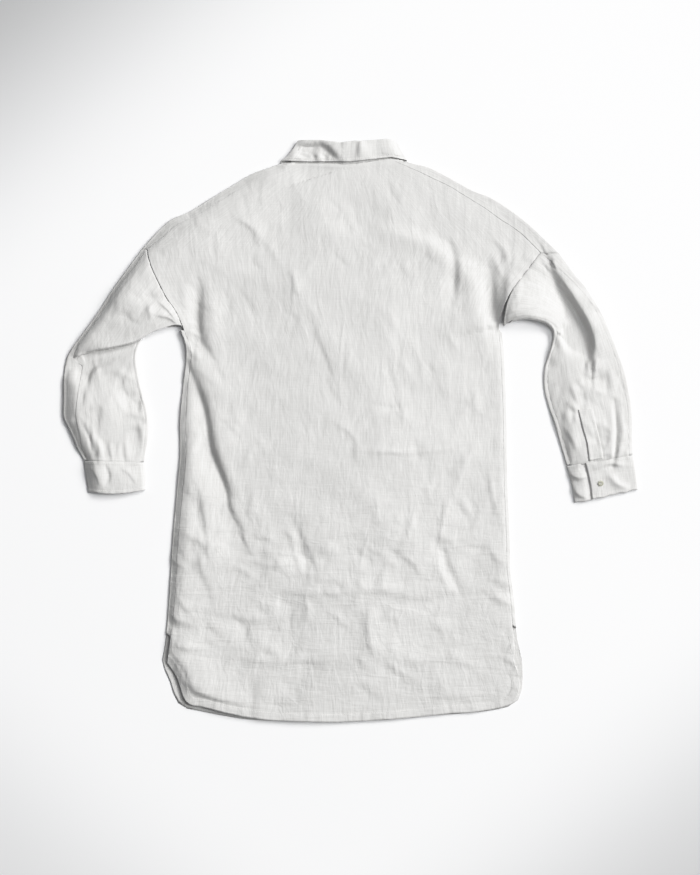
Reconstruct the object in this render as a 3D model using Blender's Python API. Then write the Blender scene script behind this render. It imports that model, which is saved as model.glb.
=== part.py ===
"""A long linen shirt that lies flat, face down, with its back up and its collar towards +Y.

Lengths are in millimetres until a mesh is made, and the surface it rests on is z = 0.
Every panel is a sheet of cloth: a grid of points through rows, given a wall by Solidify.
The fronts and the under halves of the sleeves lie on the surface. Their edges roll up and end
in a narrow lip on top, where the back and the over halves of the sleeves are sewn on.
"""

import math

import bmesh
import bpy
import numpy as np

MM = 0.001
WALL = 1.2            # thickness of one layer of linen
SEAM_GAP = 0.35       # between two panels at a seam
LAYER = WALL + 0.5    # from the middle of one layer to the middle of the next
REST = WALL / 2       # middle of a layer that lies on the surface

CENTRE_FRONT_X = -12.0
BAND_HALF = 16.0      # half the width of the front placket band
BUTTON_DIAMETER = 10.0
BUTTON_THICK = 1.8
RIGHT_CUFF_BUTTON = (412.0, -87.0)
LEFT_CUFF_BUTTON = (-396.0, -78.0)

LINEN = ("linen", (0.80, 0.79, 0.775, 1.0), 0.9)
SHELL_BUTTON = ("shell_button", (0.86, 0.85, 0.83, 1.0), 0.25)

# Outlines in plan, as (x, y) points of smooth curves, left and right as seen from above.
SHOULDER_EDGE_LEFT = [(-122, 438), (-137, 433), (-166, 422), (-203, 400), (-236, 380), (-265, 362),
                      (-298, 347), (-323, 324), (-345, 299)]
SHOULDER_SEAM_LEFT = [(-106, 436), (-124, 429), (-154, 417), (-192, 393), (-225, 372), (-256, 353),
                      (-288, 338), (-311, 317), (-336, 299)]
SHOULDER_EDGE_RIGHT = [(105, 440), (132, 433), (164, 417), (202, 396), (233, 384), (263, 365),
                       (296, 339), (321, 316), (344, 293)]
SHOULDER_SEAM_RIGHT = [(86, 438), (112, 427), (137, 415), (164, 402), (200, 380), (224, 365),
                       (246, 349), (279, 327), (314, 293)]
ARMHOLE_LEFT = [(-336, 299), (-328, 271), (-315, 242), (-302, 217), (-288, 197), (-277, 172)]
ARMHOLE_RIGHT = [(314, 293), (292, 265), (266, 232), (253, 207), (246, 182), (245, 168)]
SIDE_EDGE_LEFT = [(-281, 165), (-273, 141), (-272, 116), (-277, 75), (-282, 17), (-282, -40),
                  (-287, -98), (-294, -181), (-300, -280), (-306, -346), (-311, -379)]
SIDE_SEAM_LEFT = [(-275, 165), (-265, 138), (-264, 113), (-269, 75), (-272, 17), (-272, -40),
                  (-277, -98), (-285, -181), (-291, -280), (-298, -346), (-303, -384)]
SIDE_EDGE_RIGHT = [(250, 162), (253, 133), (256, 67), (258, 1), (259, -82), (263, -181),
                   (264, -230), (270, -280), (274, -329), (279, -368)]
SIDE_SEAM_RIGHT = [(244, 162), (247, 133), (250, 67), (252, 1), (253, -82), (257, -181),
                   (258, -230), (264, -280), (268, -329), (272, -364)]
BACK_HEM = [(-303, -384), (-295, -395), (-287, -408), (-281, -425), (-275, -443), (-264, -453),
            (-244, -456), (-206, -466), (-165, -474), (-118, -479), (-60, -480.5), (-12, -481),
            (60, -477), (120, -472), (165, -467), (205, -465), (246, -458), (266, -450),
            (276, -436), (279, -417), (276, -398), (273, -382), (272, -364)]
FRONT_HEM_LEFT = [(-311, -379), (-307, -395), (-299, -413), (-294, -430), (-287, -446),
                  (-277, -457), (-252, -463), (-206, -472), (-165, -478), (-100, -480.5),
                  (-28.5, -480.5)]
FRONT_HEM_RIGHT = [(279, -368), (283, -380), (284.5, -398), (284.5, -418), (281, -438), (270, -452),
                   (247, -460), (205, -466), (150, -470), (70, -475), (4.5, -478)]

SLEEVE_EDGE_LEFT_UPPER = [(-345.8, 297.9), (-364, 273), (-381, 250), (-397, 227), (-414, 200),
                          (-430, 177), (-447, 154), (-460, 136), (-468, 122)]
SLEEVE_SEAM_LEFT_UPPER = [(-336.8, 297.9), (-353, 274), (-370, 252), (-388, 228), (-406, 200),
                          (-422, 177), (-439, 153), (-452, 134), (-458, 121)]
SLEEVE_EDGE_LEFT_LOWER = [(-472, 108), (-474, 83), (-474, 50), (-474, 24), (-467, 7), (-458, -12),
                          (-450, -32), (-440, -49)]
SLEEVE_SEAM_LEFT_LOWER = [(-443, 107), (-446, 83), (-450, 50), (-452, 24), (-449, 6), (-445, -12),
                          (-442, -32), (-433, -49)]
SLEEVE_INNER_LEFT = [(-284, 171), (-310, 170), (-338, 164), (-349, 141), (-353, 116), (-349, 87),
                     (-343, 59), (-336, 34), (-333, 9), (-335, -16), (-341, -52)]
ELBOW_FOLD_LEFT = [(-458, 119), (-430, 129), (-389, 137), (-356, 146), (-323, 163), (-290, 175)]
SLEEVE_EDGE_RIGHT = [(344.8, 291.9), (355, 278), (370, 257), (387, 237), (401, 215), (416, 189),
                     (429, 159), (439, 134), (446, 116), (453, 95), (459, 67), (464, 37), (465, 9),
                     (465, -16), (466, -40)]
SLEEVE_SEAM_RIGHT = [(315.0, 291.7), (334, 275), (354, 256), (374, 236), (392, 214), (409, 187),
                     (422, 157), (432, 132), (439, 114), (446, 93), (452, 66), (457, 37), (458, 9),
                     (458, -16), (459, -40)]
SLEEVE_INNER_RIGHT = [(251, 170), (265, 179), (284, 183), (304, 181), (321, 176), (332, 166),
                      (334, 153), (330, 136), (325, 120), (320, 100), (320, 70), (327, 40),
                      (337, 11), (345, -17), (357, -57)]

# Folds of the upper layers: each a ridge (height above 0) or a trough along a line in plan.
# The cloth to the left of the line, as it is followed, falls off over the first width.
FOLDS = [
    # height, left width, right width, points
    (-6.0, 9, 5, [(-272, 113), (-257, 78), (-241, 30), (-232, -27), (-219, -65), (-206, -100),
                  (-202, -130), (-184, -166)]),
    (5.0, 26, 9, [(-250, 113), (-236, 78), (-221, 30), (-212, -27), (-196, -70), (-180, -110)]),
    (4.0, 12, 12, [(-272, 90), (-262, 40), (-258, -20), (-262, -60)]),
    (-4.0, 7, 7, [(-255, -98), (-248, -140), (-240, -190)]),
    (-5.0, 6, 6, [(-249, 240), (-252, 180), (-247, 144), (-232, 126)]),
    (4.5, 14, 14, [(-268, 240), (-275, 200)]),
    (3.5, 16, 16, [(-228, 230), (-230, 180), (-218, 140)]),
    (-6.0, 7, 7, [(230, 262), (232, 216), (238, 190), (246, 166)]),
    (5.0, 18, 18, [(208, 240), (210, 200), (222, 160), (236, 130)]),
    (-4.0, 8, 6, [(167, 303), (172, 265), (169, 215)]),
    (4.5, 14, 20, [(48, 327), (115, 311), (148, 290), (165, 272)]),
    (3.5, 16, 16, [(172, 278), (196, 248), (213, 229)]),
    (2.5, 22, 22, [(-100, 268), (-90, 228), (-80, 200)]),
    (2.5, 30, 30, [(0, -30), (120, -32), (200, -40)]),
    (2.5, 26, 26, [(-150, -255), (-60, -250), (60, -262), (160, -258)]),
    (2.5, 20, 20, [(-190, -370), (-60, -374), (90, -366)]),
    (2.5, 24, 24, [(35, -280), (33, -340), (40, -400)]),
    # the right sleeve stands up round a deep fold at the elbow
    (13.0, 34, 34, [(300, 232), (322, 212), (345, 190)]),
    (14.0, 26, 22, [(402, 190), (415, 155), (424, 118)]),
    (-17.0, 13, 8, [(333, 257), (346, 235), (362, 214), (379, 185), (392, 166), (397, 141),
                    (398, 120)]),
    (9.0, 12, 9, [(346, 166), (353, 145), (356, 130)]),
    (4.0, 14, 14, [(436, 34), (441, -10), (438, -40)]),
    (3.0, 12, 12, [(350, 40), (362, 0), (370, -40)]),
    # the left sleeve, above and below its elbow
    (5.0, 30, 30, [(-345, 240), (-385, 195), (-420, 160)]),
    (3.0, 20, 20, [(-300, 200), (-335, 188), (-370, 170)]),
    (4.0, 22, 22, [(-400, 90), (-396, 40), (-390, -10)]),
    (-3.0, 5, 5, [(-445, 17), (-428, -16), (-419, -49)]),
    (3.0, 7, 7, [(-436, 10), (-420, -20), (-410, -49)]),
]


def smooth_step(value):
    """0 below 0, 1 above 1 and smooth between."""
    value = np.clip(value, 0.0, 1.0)
    return value * value * (3.0 - 2.0 * value)


def spaced(points, count):
    """count points at equal distances along a smooth curve through points."""
    points = np.array(points, float)
    before = np.vstack([2 * points[0] - points[1], points, 2 * points[-1] - points[-2]])
    steps = np.linspace(0.0, 1.0, 9)[:-1, None]
    fine = []
    for a, b, c, d in zip(before, before[1:], before[2:], before[3:]):
        fine.append(0.5 * (2 * b + (c - a) * steps + (2 * a - 5 * b + 4 * c - d) * steps ** 2
                           + (3 * b - a - 3 * c + d) * steps ** 3))
    fine = np.vstack(fine + [points[-1:]])
    run = np.concatenate([[0.0], np.cumsum(np.linalg.norm(np.diff(fine, axis=0), axis=1))])
    at = np.linspace(0.0, run[-1], count)
    return np.stack([np.interp(at, run, fine[:, axis]) for axis in (0, 1)], axis=1)


FOLD_PATHS = [spaced(points, 3 * len(points)) for _, _, _, points in FOLDS]


def fold_height(x, y):
    """What all the folds add to a layer at each point of the plan."""
    total = np.zeros(np.shape(x))
    for (height, left_width, right_width, points), path in zip(FOLDS, FOLD_PATHS):
        near = np.full(np.shape(x), 1e9)
        side = np.ones(np.shape(x))
        share = np.zeros(np.shape(x))
        for index, (start, end) in enumerate(zip(path, path[1:])):
            along = end - start
            where = ((x - start[0]) * along[0] + (y - start[1]) * along[1]) / (along @ along)
            where = np.clip(where, 0.0, 1.0)
            across_x = x - start[0] - where * along[0]
            across_y = y - start[1] - where * along[1]
            distance = np.hypot(across_x, across_y)
            closer = distance < near
            near = np.where(closer, distance, near)
            side = np.where(closer, along[0] * across_y - along[1] * across_x, side)
            share = np.where(closer, (index + where) / (len(path) - 1), share)
        width = np.where(side > 0, left_width, right_width)
        ends = 0.35 + 0.65 * np.sin(math.pi * share)
        total = total + height * ends * np.exp(-((near / width) ** 2))
    return total


def low(x, y):
    """Middle of the lower layer, which rises onto the buttons that lie under it."""
    over_band = smooth_step((44.0 - np.abs(x - CENTRE_FRONT_X)) / 26.0)
    from_cuff_button = np.hypot(x - LEFT_CUFF_BUTTON[0], y - LEFT_CUFF_BUTTON[1])
    over_button = smooth_step((36.0 - from_cuff_button) / 22.0)
    return REST + (BUTTON_THICK + 0.35) * np.maximum(over_band, over_button)


def high(x, y, loft=3.2):
    """Middle of the upper layer: it lies on the lower one, with air and folds under it."""
    hem_rise = smooth_step((y + 478.0) / 70.0)
    lift = loft * (0.35 + 0.65 * hem_rise)
    return low(x, y) + LAYER + np.maximum(0.0, lift + fold_height(x, y))


def patch_between(starts, ends, columns, layer):
    """A grid of points on straight rows from starts to ends, at the layer's height."""
    share = np.asarray(columns)[None, :, None]
    plan = starts[:, None, :] * (1 - share) + ends[:, None, :] * share
    return np.dstack([plan, layer(plan[..., 0], plan[..., 1])])


def rolled_strip(edges, seams, roll, tops=2, gap=SEAM_GAP, over=high):
    """The cloth that rolls round an edge and runs on top to just short of the seam."""
    inward = seams - edges
    reach = np.linalg.norm(inward, axis=1, keepdims=True)
    inward = inward / reach
    roll = np.minimum(roll, 0.5 * reach)
    angles = np.linspace(0.0, math.pi, 5)
    start = edges + inward * roll
    columns = []
    for angle in angles:
        plan = start - inward * roll * math.sin(angle)
        bottom = low(start[:, 0], start[:, 1])
        top = over(start[:, 0], start[:, 1])
        rise = (1 - math.cos(angle)) / 2
        columns.append(np.column_stack([plan, bottom + (top - bottom) * rise]))
    for share in np.linspace(0.0, 1.0, tops + 1)[1:]:
        plan = edges + inward * (roll + (reach - gap - roll) * share)
        columns.append(np.column_stack([plan, over(plan[:, 0], plan[:, 1])]))
    return np.stack(columns, axis=1)


def under_edge(edges, seams, roll):
    """Where the flat under layer ends and the roll begins."""
    inward = seams - edges
    reach = np.linalg.norm(inward, axis=1, keepdims=True)
    return edges + inward / reach * np.minimum(roll, 0.5 * reach)


def material_of(finish):
    name, colour, roughness = finish
    material = bpy.data.materials.get(name)
    if material is None:
        material = bpy.data.materials.new(name)
        material.use_nodes = True
        shader = material.node_tree.nodes["Principled BSDF"]
        shader.inputs["Base Color"].default_value = colour
        shader.inputs["Roughness"].default_value = roughness
        shader.inputs["Metallic"].default_value = 0.0
    return material


def add_object(name, mesh, finish):
    mesh.materials.append(material_of(finish))
    piece = bpy.data.objects.new(name, mesh)
    bpy.context.scene.collection.objects.link(piece)
    return piece


def cloth(name, *patches, wall=WALL):
    """One panel: its patches sewn along the points they share, then given a wall."""
    shape = bmesh.new()
    for patch in patches:
        rows, columns = patch.shape[:2]
        verts = [[shape.verts.new(point * MM) for point in row] for row in patch]
        for i in range(rows - 1):
            for j in range(columns - 1):
                shape.faces.new((verts[i][j], verts[i][j + 1], verts[i + 1][j + 1],
                                 verts[i + 1][j]))
    bmesh.ops.remove_doubles(shape, verts=shape.verts, dist=1e-5)
    bmesh.ops.recalc_face_normals(shape, faces=shape.faces)
    mesh = bpy.data.meshes.new(name)
    shape.to_mesh(mesh)
    shape.free()
    piece = add_object(name, mesh, LINEN)
    thick = piece.modifiers.new("wall", "SOLIDIFY")
    thick.thickness = wall * MM
    thick.offset = 0.0
    mesh.shade_smooth()
    mesh.set_sharp_from_angle(angle=math.radians(50))
    return piece


def button(name, x, y, bottom, thick=BUTTON_THICK):
    """A turned button with a raised rim; its face is the side away from the cloth."""
    radius = BUTTON_DIAMETER / 2
    profile = [(0.0, 0.0), (0.80, 0.0), (1.0, 0.25), (1.0, 0.7), (0.88, 1.0), (0.66, 0.82),
               (0.0, 0.82)]
    segments = 12
    shape = bmesh.new()
    rings = []
    for share, rise in profile:
        z = (bottom + rise * thick) * MM
        if share == 0.0:
            rings.append([shape.verts.new((x * MM, y * MM, z))])
            continue
        ring = []
        for step in range(segments):
            turn = 2 * math.pi * step / segments
            ring.append(shape.verts.new(((x + radius * share * math.cos(turn)) * MM,
                                         (y + radius * share * math.sin(turn)) * MM, z)))
        rings.append(ring)
    for lower, upper in zip(rings, rings[1:]):
        for step in range(segments):
            after = (step + 1) % segments
            if len(lower) == 1:
                shape.faces.new((lower[0], upper[after], upper[step]))
            elif len(upper) == 1:
                shape.faces.new((lower[step], lower[after], upper[0]))
            else:
                shape.faces.new((lower[step], lower[after], upper[after], upper[step]))
    bmesh.ops.recalc_face_normals(shape, faces=shape.faces)
    mesh = bpy.data.meshes.new(name)
    shape.to_mesh(mesh)
    shape.free()
    mesh.shade_smooth()
    mesh.set_sharp_from_angle(angle=math.radians(40))
    return add_object(name, mesh, SHELL_BUTTON)


SHOULDER_ROWS = 10
ARMHOLE_ROWS = 7
SIDE_ROWS = 24
TAIL_ROWS = 7         # of the side rows, those that bend down to the hem


def columns_across(count, crowd=0.06):
    """Shares from 0 to 1, closer together at both ends."""
    even = np.linspace(0.0, 1.0, count)
    return even - crowd * np.sin(2 * math.pi * even)


def bent_to_hem(rows, hem, columns):
    """The last rows, pushed down step by step until the last one is the hem."""
    along = np.linspace(0.0, 1.0, 400)
    fine = spaced(hem, 400)
    at_hem = np.stack([np.interp(columns, along, fine[:, axis]) for axis in (0, 1)], axis=1)
    drop = at_hem - rows[-1, :, :2]
    for step in range(TAIL_ROWS + 1):
        row = len(rows) - 1 - TAIL_ROWS + step
        rows[row, :, :2] += drop * (step / TAIL_ROWS) ** 1.3
    return rows


def make_back():
    left = np.vstack([spaced(SHOULDER_SEAM_LEFT, SHOULDER_ROWS),
                      spaced(ARMHOLE_LEFT, ARMHOLE_ROWS + 1)[1:],
                      spaced(SIDE_SEAM_LEFT, SIDE_ROWS)])
    right = np.vstack([spaced(SHOULDER_SEAM_RIGHT, SHOULDER_ROWS),
                       spaced(ARMHOLE_RIGHT, ARMHOLE_ROWS + 1)[1:],
                       spaced(SIDE_SEAM_RIGHT, SIDE_ROWS)])
    columns = columns_across(22)
    rows = bent_to_hem(patch_between(left, right, columns, high), BACK_HEM, columns)
    rows[..., 2] = high(rows[..., 0], rows[..., 1])
    cloth("back", rows)


def make_front(name, side, shoulder_edge, shoulder_seam, armhole, side_edge, side_seam, hem):
    """A front: its flat panel, and the strips that roll over the shoulder and the side."""
    shoulder = spaced(shoulder_edge, SHOULDER_ROWS)
    shoulder_sewn = spaced(shoulder_seam, SHOULDER_ROWS)
    down_side = spaced(side_edge, SIDE_ROWS)
    side_sewn = spaced(side_seam, SIDE_ROWS)
    down_armhole = spaced(armhole, ARMHOLE_ROWS + 1)[1:]
    shoulder_roll = 6.0
    side_roll = 3.0
    outer = np.vstack([under_edge(shoulder, shoulder_sewn, shoulder_roll),
                       down_armhole, under_edge(down_side, side_sewn, side_roll)])
    centre_x = CENTRE_FRONT_X + side * (BAND_HALF + SEAM_GAP)
    neck_to_armhole = np.linspace(402.0, 296.0, SHOULDER_ROWS)
    along_armhole = np.linspace(290.0, 168.0, ARMHOLE_ROWS)
    centre_y = np.concatenate([neck_to_armhole, along_armhole, down_side[:, 1]])
    inner = np.column_stack([np.full(len(outer), centre_x), centre_y])
    columns = np.linspace(0.0, 1.0, 7)
    rows = patch_between(outer, inner, columns, low)
    scoop = 14.0 * np.sin(math.pi * columns) * np.exp(-np.arange(len(outer))[:, None] / 2.5)
    rows[..., 1] -= scoop
    rows = bent_to_hem(rows, hem, columns)
    rows[..., 2] = low(rows[..., 0], rows[..., 1])
    over_shoulder = rolled_strip(shoulder, shoulder_sewn, shoulder_roll, gap=0.7)
    over_side = rolled_strip(down_side, side_sewn, side_roll, tops=2, gap=0.45)
    cut = len(over_side) - TAIL_ROWS + 5
    cloth(name, rows, over_shoulder, over_side[:cut])
    return rows


def make_front_band(top_y, bottom_y):
    """The folded band that both fronts are sewn to, and the buttons it lies on."""
    rows = 24
    y = np.linspace(top_y, bottom_y, rows)
    left = np.column_stack([np.full(rows, CENTRE_FRONT_X - BAND_HALF), y])
    right = np.column_stack([np.full(rows, CENTRE_FRONT_X + BAND_HALF), y])
    cloth("front_placket", patch_between(left, right, [0.0, 0.5, 1.0], low))
    first, spacing, count = 372.0, 96.0, 8
    for index in range(count):
        button(f"front_button_{index + 1}", CENTRE_FRONT_X, first - index * spacing, 0.0)


def follow(grid, row, curve, strength=1.0):
    """Bends a straight row of the grid into the shape of a curve between the same ends."""
    shares = np.linspace(0.0, 1.0, grid.shape[1])
    fine = spaced(curve, 40)
    even = np.linspace(0.0, 1.0, 40)
    on_curve = np.stack([np.interp(shares, even, fine[:, axis]) for axis in (0, 1)], axis=1)
    chord = fine[0] * (1 - shares[:, None]) + fine[-1] * shares[:, None]
    grid[row, :, :2] += (on_curve - chord) * strength


def make_right_sleeve():
    rows = 21
    outer = spaced(SLEEVE_EDGE_RIGHT, rows)
    sewn = spaced(SLEEVE_SEAM_RIGHT, rows)
    inner = spaced(SLEEVE_INNER_RIGHT, rows)
    across = (outer - inner) / np.linalg.norm(outer - inner, axis=1, keepdims=True)
    inner_sewn = inner + across * 6.0
    over = patch_between(sewn, inner_sewn, np.linspace(0.0, 1.0, 12), high)
    outer_roll, inner_roll = 3.5, 3.0
    under = patch_between(under_edge(outer, sewn, outer_roll),
                          under_edge(inner, inner_sewn, inner_roll),
                          np.linspace(0.0, 1.0, 8), low)
    for grid, clear in ((over, SEAM_GAP + 0.2), (under, 1.0)):
        for row in range(6):
            follow(grid, row, ARMHOLE_RIGHT, (1 - row / 6) ** 2)
        grid[0, 1:, 0] += clear
    over[..., 2] = high(over[..., 0], over[..., 1])
    under[..., 2] = low(under[..., 0], under[..., 1])
    outer_strip = rolled_strip(outer, sewn, outer_roll, gap=0.7)
    inner_strip = rolled_strip(inner, inner_sewn, inner_roll, tops=2, gap=0.5)
    cloth("sleeve_right_over", over)
    cloth("sleeve_right_under", under, outer_strip, inner_strip[1:])


def below_fold(x, y):
    """Distance from the left elbow fold, above 0 on the side of the cuff."""
    fold = spaced(ELBOW_FOLD_LEFT, 40)
    line = np.interp(x, fold[:, 0], fold[:, 1])
    return (line - y) * 0.95


def tucked(x, y):
    """The lower part of the left sleeve: pressed flat under the fold, then as high as the rest."""
    pressed = REST + LAYER + 0.9
    free = smooth_step((below_fold(x, y) - 2.0) / 26.0)
    return pressed + (high(x, y) - pressed) * free


def make_left_sleeve():
    """The upper part lies over the lower part, in a fold that runs out at the outer elbow."""
    upper_rows, lower_rows, across = 9, 11, 12
    upper_sewn = spaced(SLEEVE_SEAM_LEFT_UPPER, upper_rows)
    lower_sewn = spaced(SLEEVE_SEAM_LEFT_LOWER, lower_rows)
    share = np.linspace(0.0, 1.0, across)
    underarm = np.array([-280.0, 173.0])
    fold_end = np.array(ELBOW_FOLD_LEFT[-1], float)
    steps = np.linspace(0.0, 1.0, upper_rows)[:, None]
    upper_inner = underarm * (1 - steps) + fold_end * steps
    upper = patch_between(upper_sewn, upper_inner, share, high)
    for row in range(upper_rows):
        run = row / (upper_rows - 1)
        follow(upper, row, ARMHOLE_LEFT, (1 - run) ** 2)
        follow(upper, row, ELBOW_FOLD_LEFT, run ** 2)
    upper[0, 1:, 0] -= SEAM_GAP + 0.2
    layered = smooth_step(share / 0.35)
    pinched = smooth_step((1.0 - share) / 0.14)
    lap = 3.0
    near_fold = smooth_step((70.0 + below_fold(upper[..., 0], upper[..., 1])) / 42.0)
    upper[..., 2] = high(upper[..., 0], upper[..., 1])
    lifted = np.maximum(upper[..., 2], REST + LAYER + 0.9 + 2 * lap + 0.6)
    upper[..., 2] += (lifted - upper[..., 2]) * near_fold * layered * pinched

    # Rows round the fold: how far each lies beyond it where the cloth is flat and where it is
    # folded, and how many laps it is above the lower part.
    turns = [(1.5, 1.5, 1.55), (3.0, 0.0, 1.0), (4.5, -12.0, 0.95), (6.0, -20.0, 0.9),
             (7.0, -21.5, 0.45), (8.0, -20.0, 0.0), (9.5, -8.0, 0.0)]
    line = upper[-1]
    down = np.array([-0.30, -0.954])
    lower_inner = spaced(SLEEVE_INNER_LEFT[2:], lower_rows)
    lower = patch_between(lower_sewn, lower_inner - [6.0, 0.0], share, tucked)
    drawn = np.interp(line[:, 0], [-345.0, -285.0], [0.0, -38.0])
    fold_rows = []
    onward = lower_sewn[1] - line[0, :2]
    onward = onward / np.linalg.norm(onward)
    for flat, folded, laps in turns:
        row = np.empty_like(line)
        row[:, :2] = (line[:, :2] + onward * (flat * (1 - layered))[:, None]
                      + down * (folded * layered)[:, None])
        row[:, 0] += drawn * (1.0 - min(laps, 1.0) * 0.5)
        deep = REST + LAYER + 0.9 + laps * lap
        row[:, 2] = high(row[:, 0], row[:, 1]) * (1 - layered) + deep * layered
        fold_rows.append(row)
    free = smooth_step((below_fold(lower[..., 0], lower[..., 1]) - 2.0) / 26.0)
    lower[..., 2] += (high(lower[..., 0], lower[..., 1]) - lower[..., 2]) * (1 - layered) * (1 - free)
    over = np.concatenate([upper, np.stack(fold_rows), lower[1:]], axis=0)
    cloth("sleeve_left_over", over)

    outer = np.vstack([spaced(SLEEVE_EDGE_LEFT_UPPER, upper_rows),
                       spaced(SLEEVE_EDGE_LEFT_LOWER, lower_rows)[1:]])
    sewn = np.vstack([upper_sewn, lower_sewn[1:]])
    inner_upper = spaced(SLEEVE_INNER_LEFT[:3], upper_rows)
    inner_lower = spaced(SLEEVE_INNER_LEFT[2:], lower_rows)[1:]
    inner_sewn = inner_lower - [6.0, 0.0]
    roll = 3.5
    under_in = np.vstack([inner_upper, under_edge(inner_lower, inner_sewn, 3.0)])
    under = patch_between(under_edge(outer, sewn, roll), under_in, np.linspace(0.0, 1.0, 9), low)
    for row in range(5):
        follow(under, row, ARMHOLE_LEFT, (1 - row / 5) ** 2)
    under[0, 1:, 0] -= 1.0
    under[..., 2] = low(under[..., 0], under[..., 1])
    outer_strip = rolled_strip(outer, sewn, roll, gap=0.7)
    inner_strip = rolled_strip(inner_lower, inner_sewn, 3.0, tops=2, gap=0.5, over=tucked)
    cloth("sleeve_left_under", under, outer_strip, inner_strip)


def section(width, roll, start, end, opening, flats):
    """A flattened ring in section, as (distance from its left end, rise from 0 to 1, sink)."""
    turn = np.linspace(0.0, math.pi, 5)
    left = [(roll - roll * math.sin(a), (1 - math.cos(a)) / 2, 0.0) for a in turn]
    right = [(width - roll + roll * math.sin(a), (1 - math.cos(a)) / 2, 0.0) for a in turn]
    if opening == "under":
        path = [(w, 0.0, 0.0) for w in np.linspace(start, roll, flats)[:-1]]
        path += left
        path += [(w, 1.0, 0.0) for w in np.linspace(roll, width - roll, 2 * flats)[1:-1]]
        path += right[::-1]
        path += [(w, 0.0, 0.0) for w in np.linspace(width - roll, end, flats)[1:]]
        return path
    path = [(w, 1.0, 0.0) for w in np.linspace(start, width - roll, flats)[:-1]]
    path += right[::-1]
    path += [(w, 0.0, 0.0) for w in np.linspace(width - roll, roll, 2 * flats)[1:-1]]
    path += left
    inner = np.linspace(roll, end, flats)[1:]
    path += [(w, 1.0, smooth_step((w - start + 12.0) / 9.0)) for w in inner]
    return path


def make_cuff(name, outer, inner, start, end, opening, rows=6, bow=0.0):
    """A cuff: a band wound round the sleeve's end, its ends meeting or lapped."""
    left, right = (outer, inner) if outer[0][0] < inner[0][0] else (inner, outer)
    a, b = spaced(left, rows), spaced(right, rows)
    grid = []
    for index, (from_a, to_b) in enumerate(zip(a, b)):
        width = float(np.linalg.norm(to_b - from_a))
        along = (to_b - from_a) / width
        w, rise, sink = np.array(section(width, 3.5, start * width, end * width, opening, 7)).T
        x = from_a[0] + along[0] * w
        y = from_a[1] + along[1] * w + bow * np.sin(math.pi * w / width) * index / (rows - 1)
        z = low(x, y) + (high(x, y) - low(x, y)) * rise - sink * LAYER
        grid.append(np.column_stack([x, y, z]))
    cloth(name, np.array(grid))


def neck_row(x):
    """y of the seam where the back meets the collar stand."""
    return 436.0 + (x + 106.0) / 192.0 * 2.0


def front_neckline(x):
    """y of the fronts' scooped neckline, under the back."""
    inward = np.clip((107.0 - np.abs(x - CENTRE_FRONT_X)) / (107.0 - BAND_HALF), 0.0, 1.0)
    return 402.0 + 36.0 * (1 - inward) - 14.0 * np.sin(math.pi * inward)


COLLAR_LOWER = [(-116, 445), (-84, 443), (-34, 443), (-1, 442), (32, 446), (65, 450), (93, 446)]
COLLAR_UPPER = [(-116, 460), (-100, 470), (-86, 479), (-51, 479), (-16, 474), (7, 477), (15, 476),
                (57, 480.4), (72, 479), (80, 470)]


def make_neck_ring(name, left_x, right_x, lower, upper, under_lift, top_lift, depth):
    """A band round the neck, pressed flat, its ends meeting at the centre front below."""
    grid = []
    for share in np.linspace(0.0, 1.0, 5):
        left = left_x[0] * (1 - share) + left_x[1] * share
        right = right_x[0] * (1 - share) + right_x[1] * share
        width = right - left
        centre = CENTRE_FRONT_X - left
        w, rise, _ = np.array(section(width, 3.5, centre - 4.0, centre + 4.0, "under", 9)).T
        x = left + w
        above = lower(x) * (1 - share) + upper(x) * share
        below = front_neckline(x) + 3.6 + depth * share
        y = below + (above - below) * smooth_step(2.4 * rise)
        bottom = REST + under_lift
        top = high(x, np.full(len(x), 430.0)) + top_lift
        grid.append(np.column_stack([x, y, bottom + (top - bottom) * rise]))
    cloth(name, np.array(grid))


def make_collar():
    fall_lower = np.array(COLLAR_LOWER, float)
    fall_upper = np.array(COLLAR_UPPER, float)
    make_neck_ring("collar_stand", (-105.0, -79.0), (85.0, 69.0),
                   lambda x: neck_row(x) + 1.1,
                   lambda x: np.interp(x, fall_upper[:, 0], fall_upper[:, 1]) - 3.5,
                   LAYER, 0.0, 30.0)
    make_neck_ring("collar_fall", (-116.0, -88.0), (93.0, 79.0),
                   lambda x: np.interp(x, fall_lower[:, 0], fall_lower[:, 1]),
                   lambda x: np.interp(x, fall_upper[:, 0], fall_upper[:, 1]),
                   0.0, LAYER + 1.2, 34.0)


def make_sleeve_placket(name, left, right, lift, over):
    rows = 10
    grid = patch_between(spaced(left, rows), spaced(right, rows), [0.0, 0.33, 0.67, 1.0], over)
    grid[..., 2] += lift
    cloth(name, grid, wall=1.0)


for old in list(bpy.data.objects):
    bpy.data.objects.remove(old, do_unlink=True)

make_back()
make_front("front_left", -1, SHOULDER_EDGE_LEFT, SHOULDER_SEAM_LEFT, ARMHOLE_LEFT,
           SIDE_EDGE_LEFT, SIDE_SEAM_LEFT, FRONT_HEM_LEFT)
make_front("front_right", 1, SHOULDER_EDGE_RIGHT, SHOULDER_SEAM_RIGHT, ARMHOLE_RIGHT,
           SIDE_EDGE_RIGHT, SIDE_SEAM_RIGHT, FRONT_HEM_RIGHT)
make_front_band(402.0, -479.5)
make_right_sleeve()
make_left_sleeve()
make_cuff("cuff_right", [(466, -40.6), (471, -70), (474, -97)],
          [(357, -58.6), (366, -92), (370, -120)], 0.27, 0.40, "top")
make_cuff("cuff_left", [(-440, -50), (-437, -75), (-433, -101)],
          [(-341, -53), (-338.5, -75), (-339, -98)], 0.86, 0.865, "under", bow=-5.0)
make_collar()
make_sleeve_placket("sleeve_placket_right", [(375, 34), (382, 4), (389, -20), (393, -50)],
                    [(398, 35), (405, 5), (411, -18), (416, -46)], LAYER, high)
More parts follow.
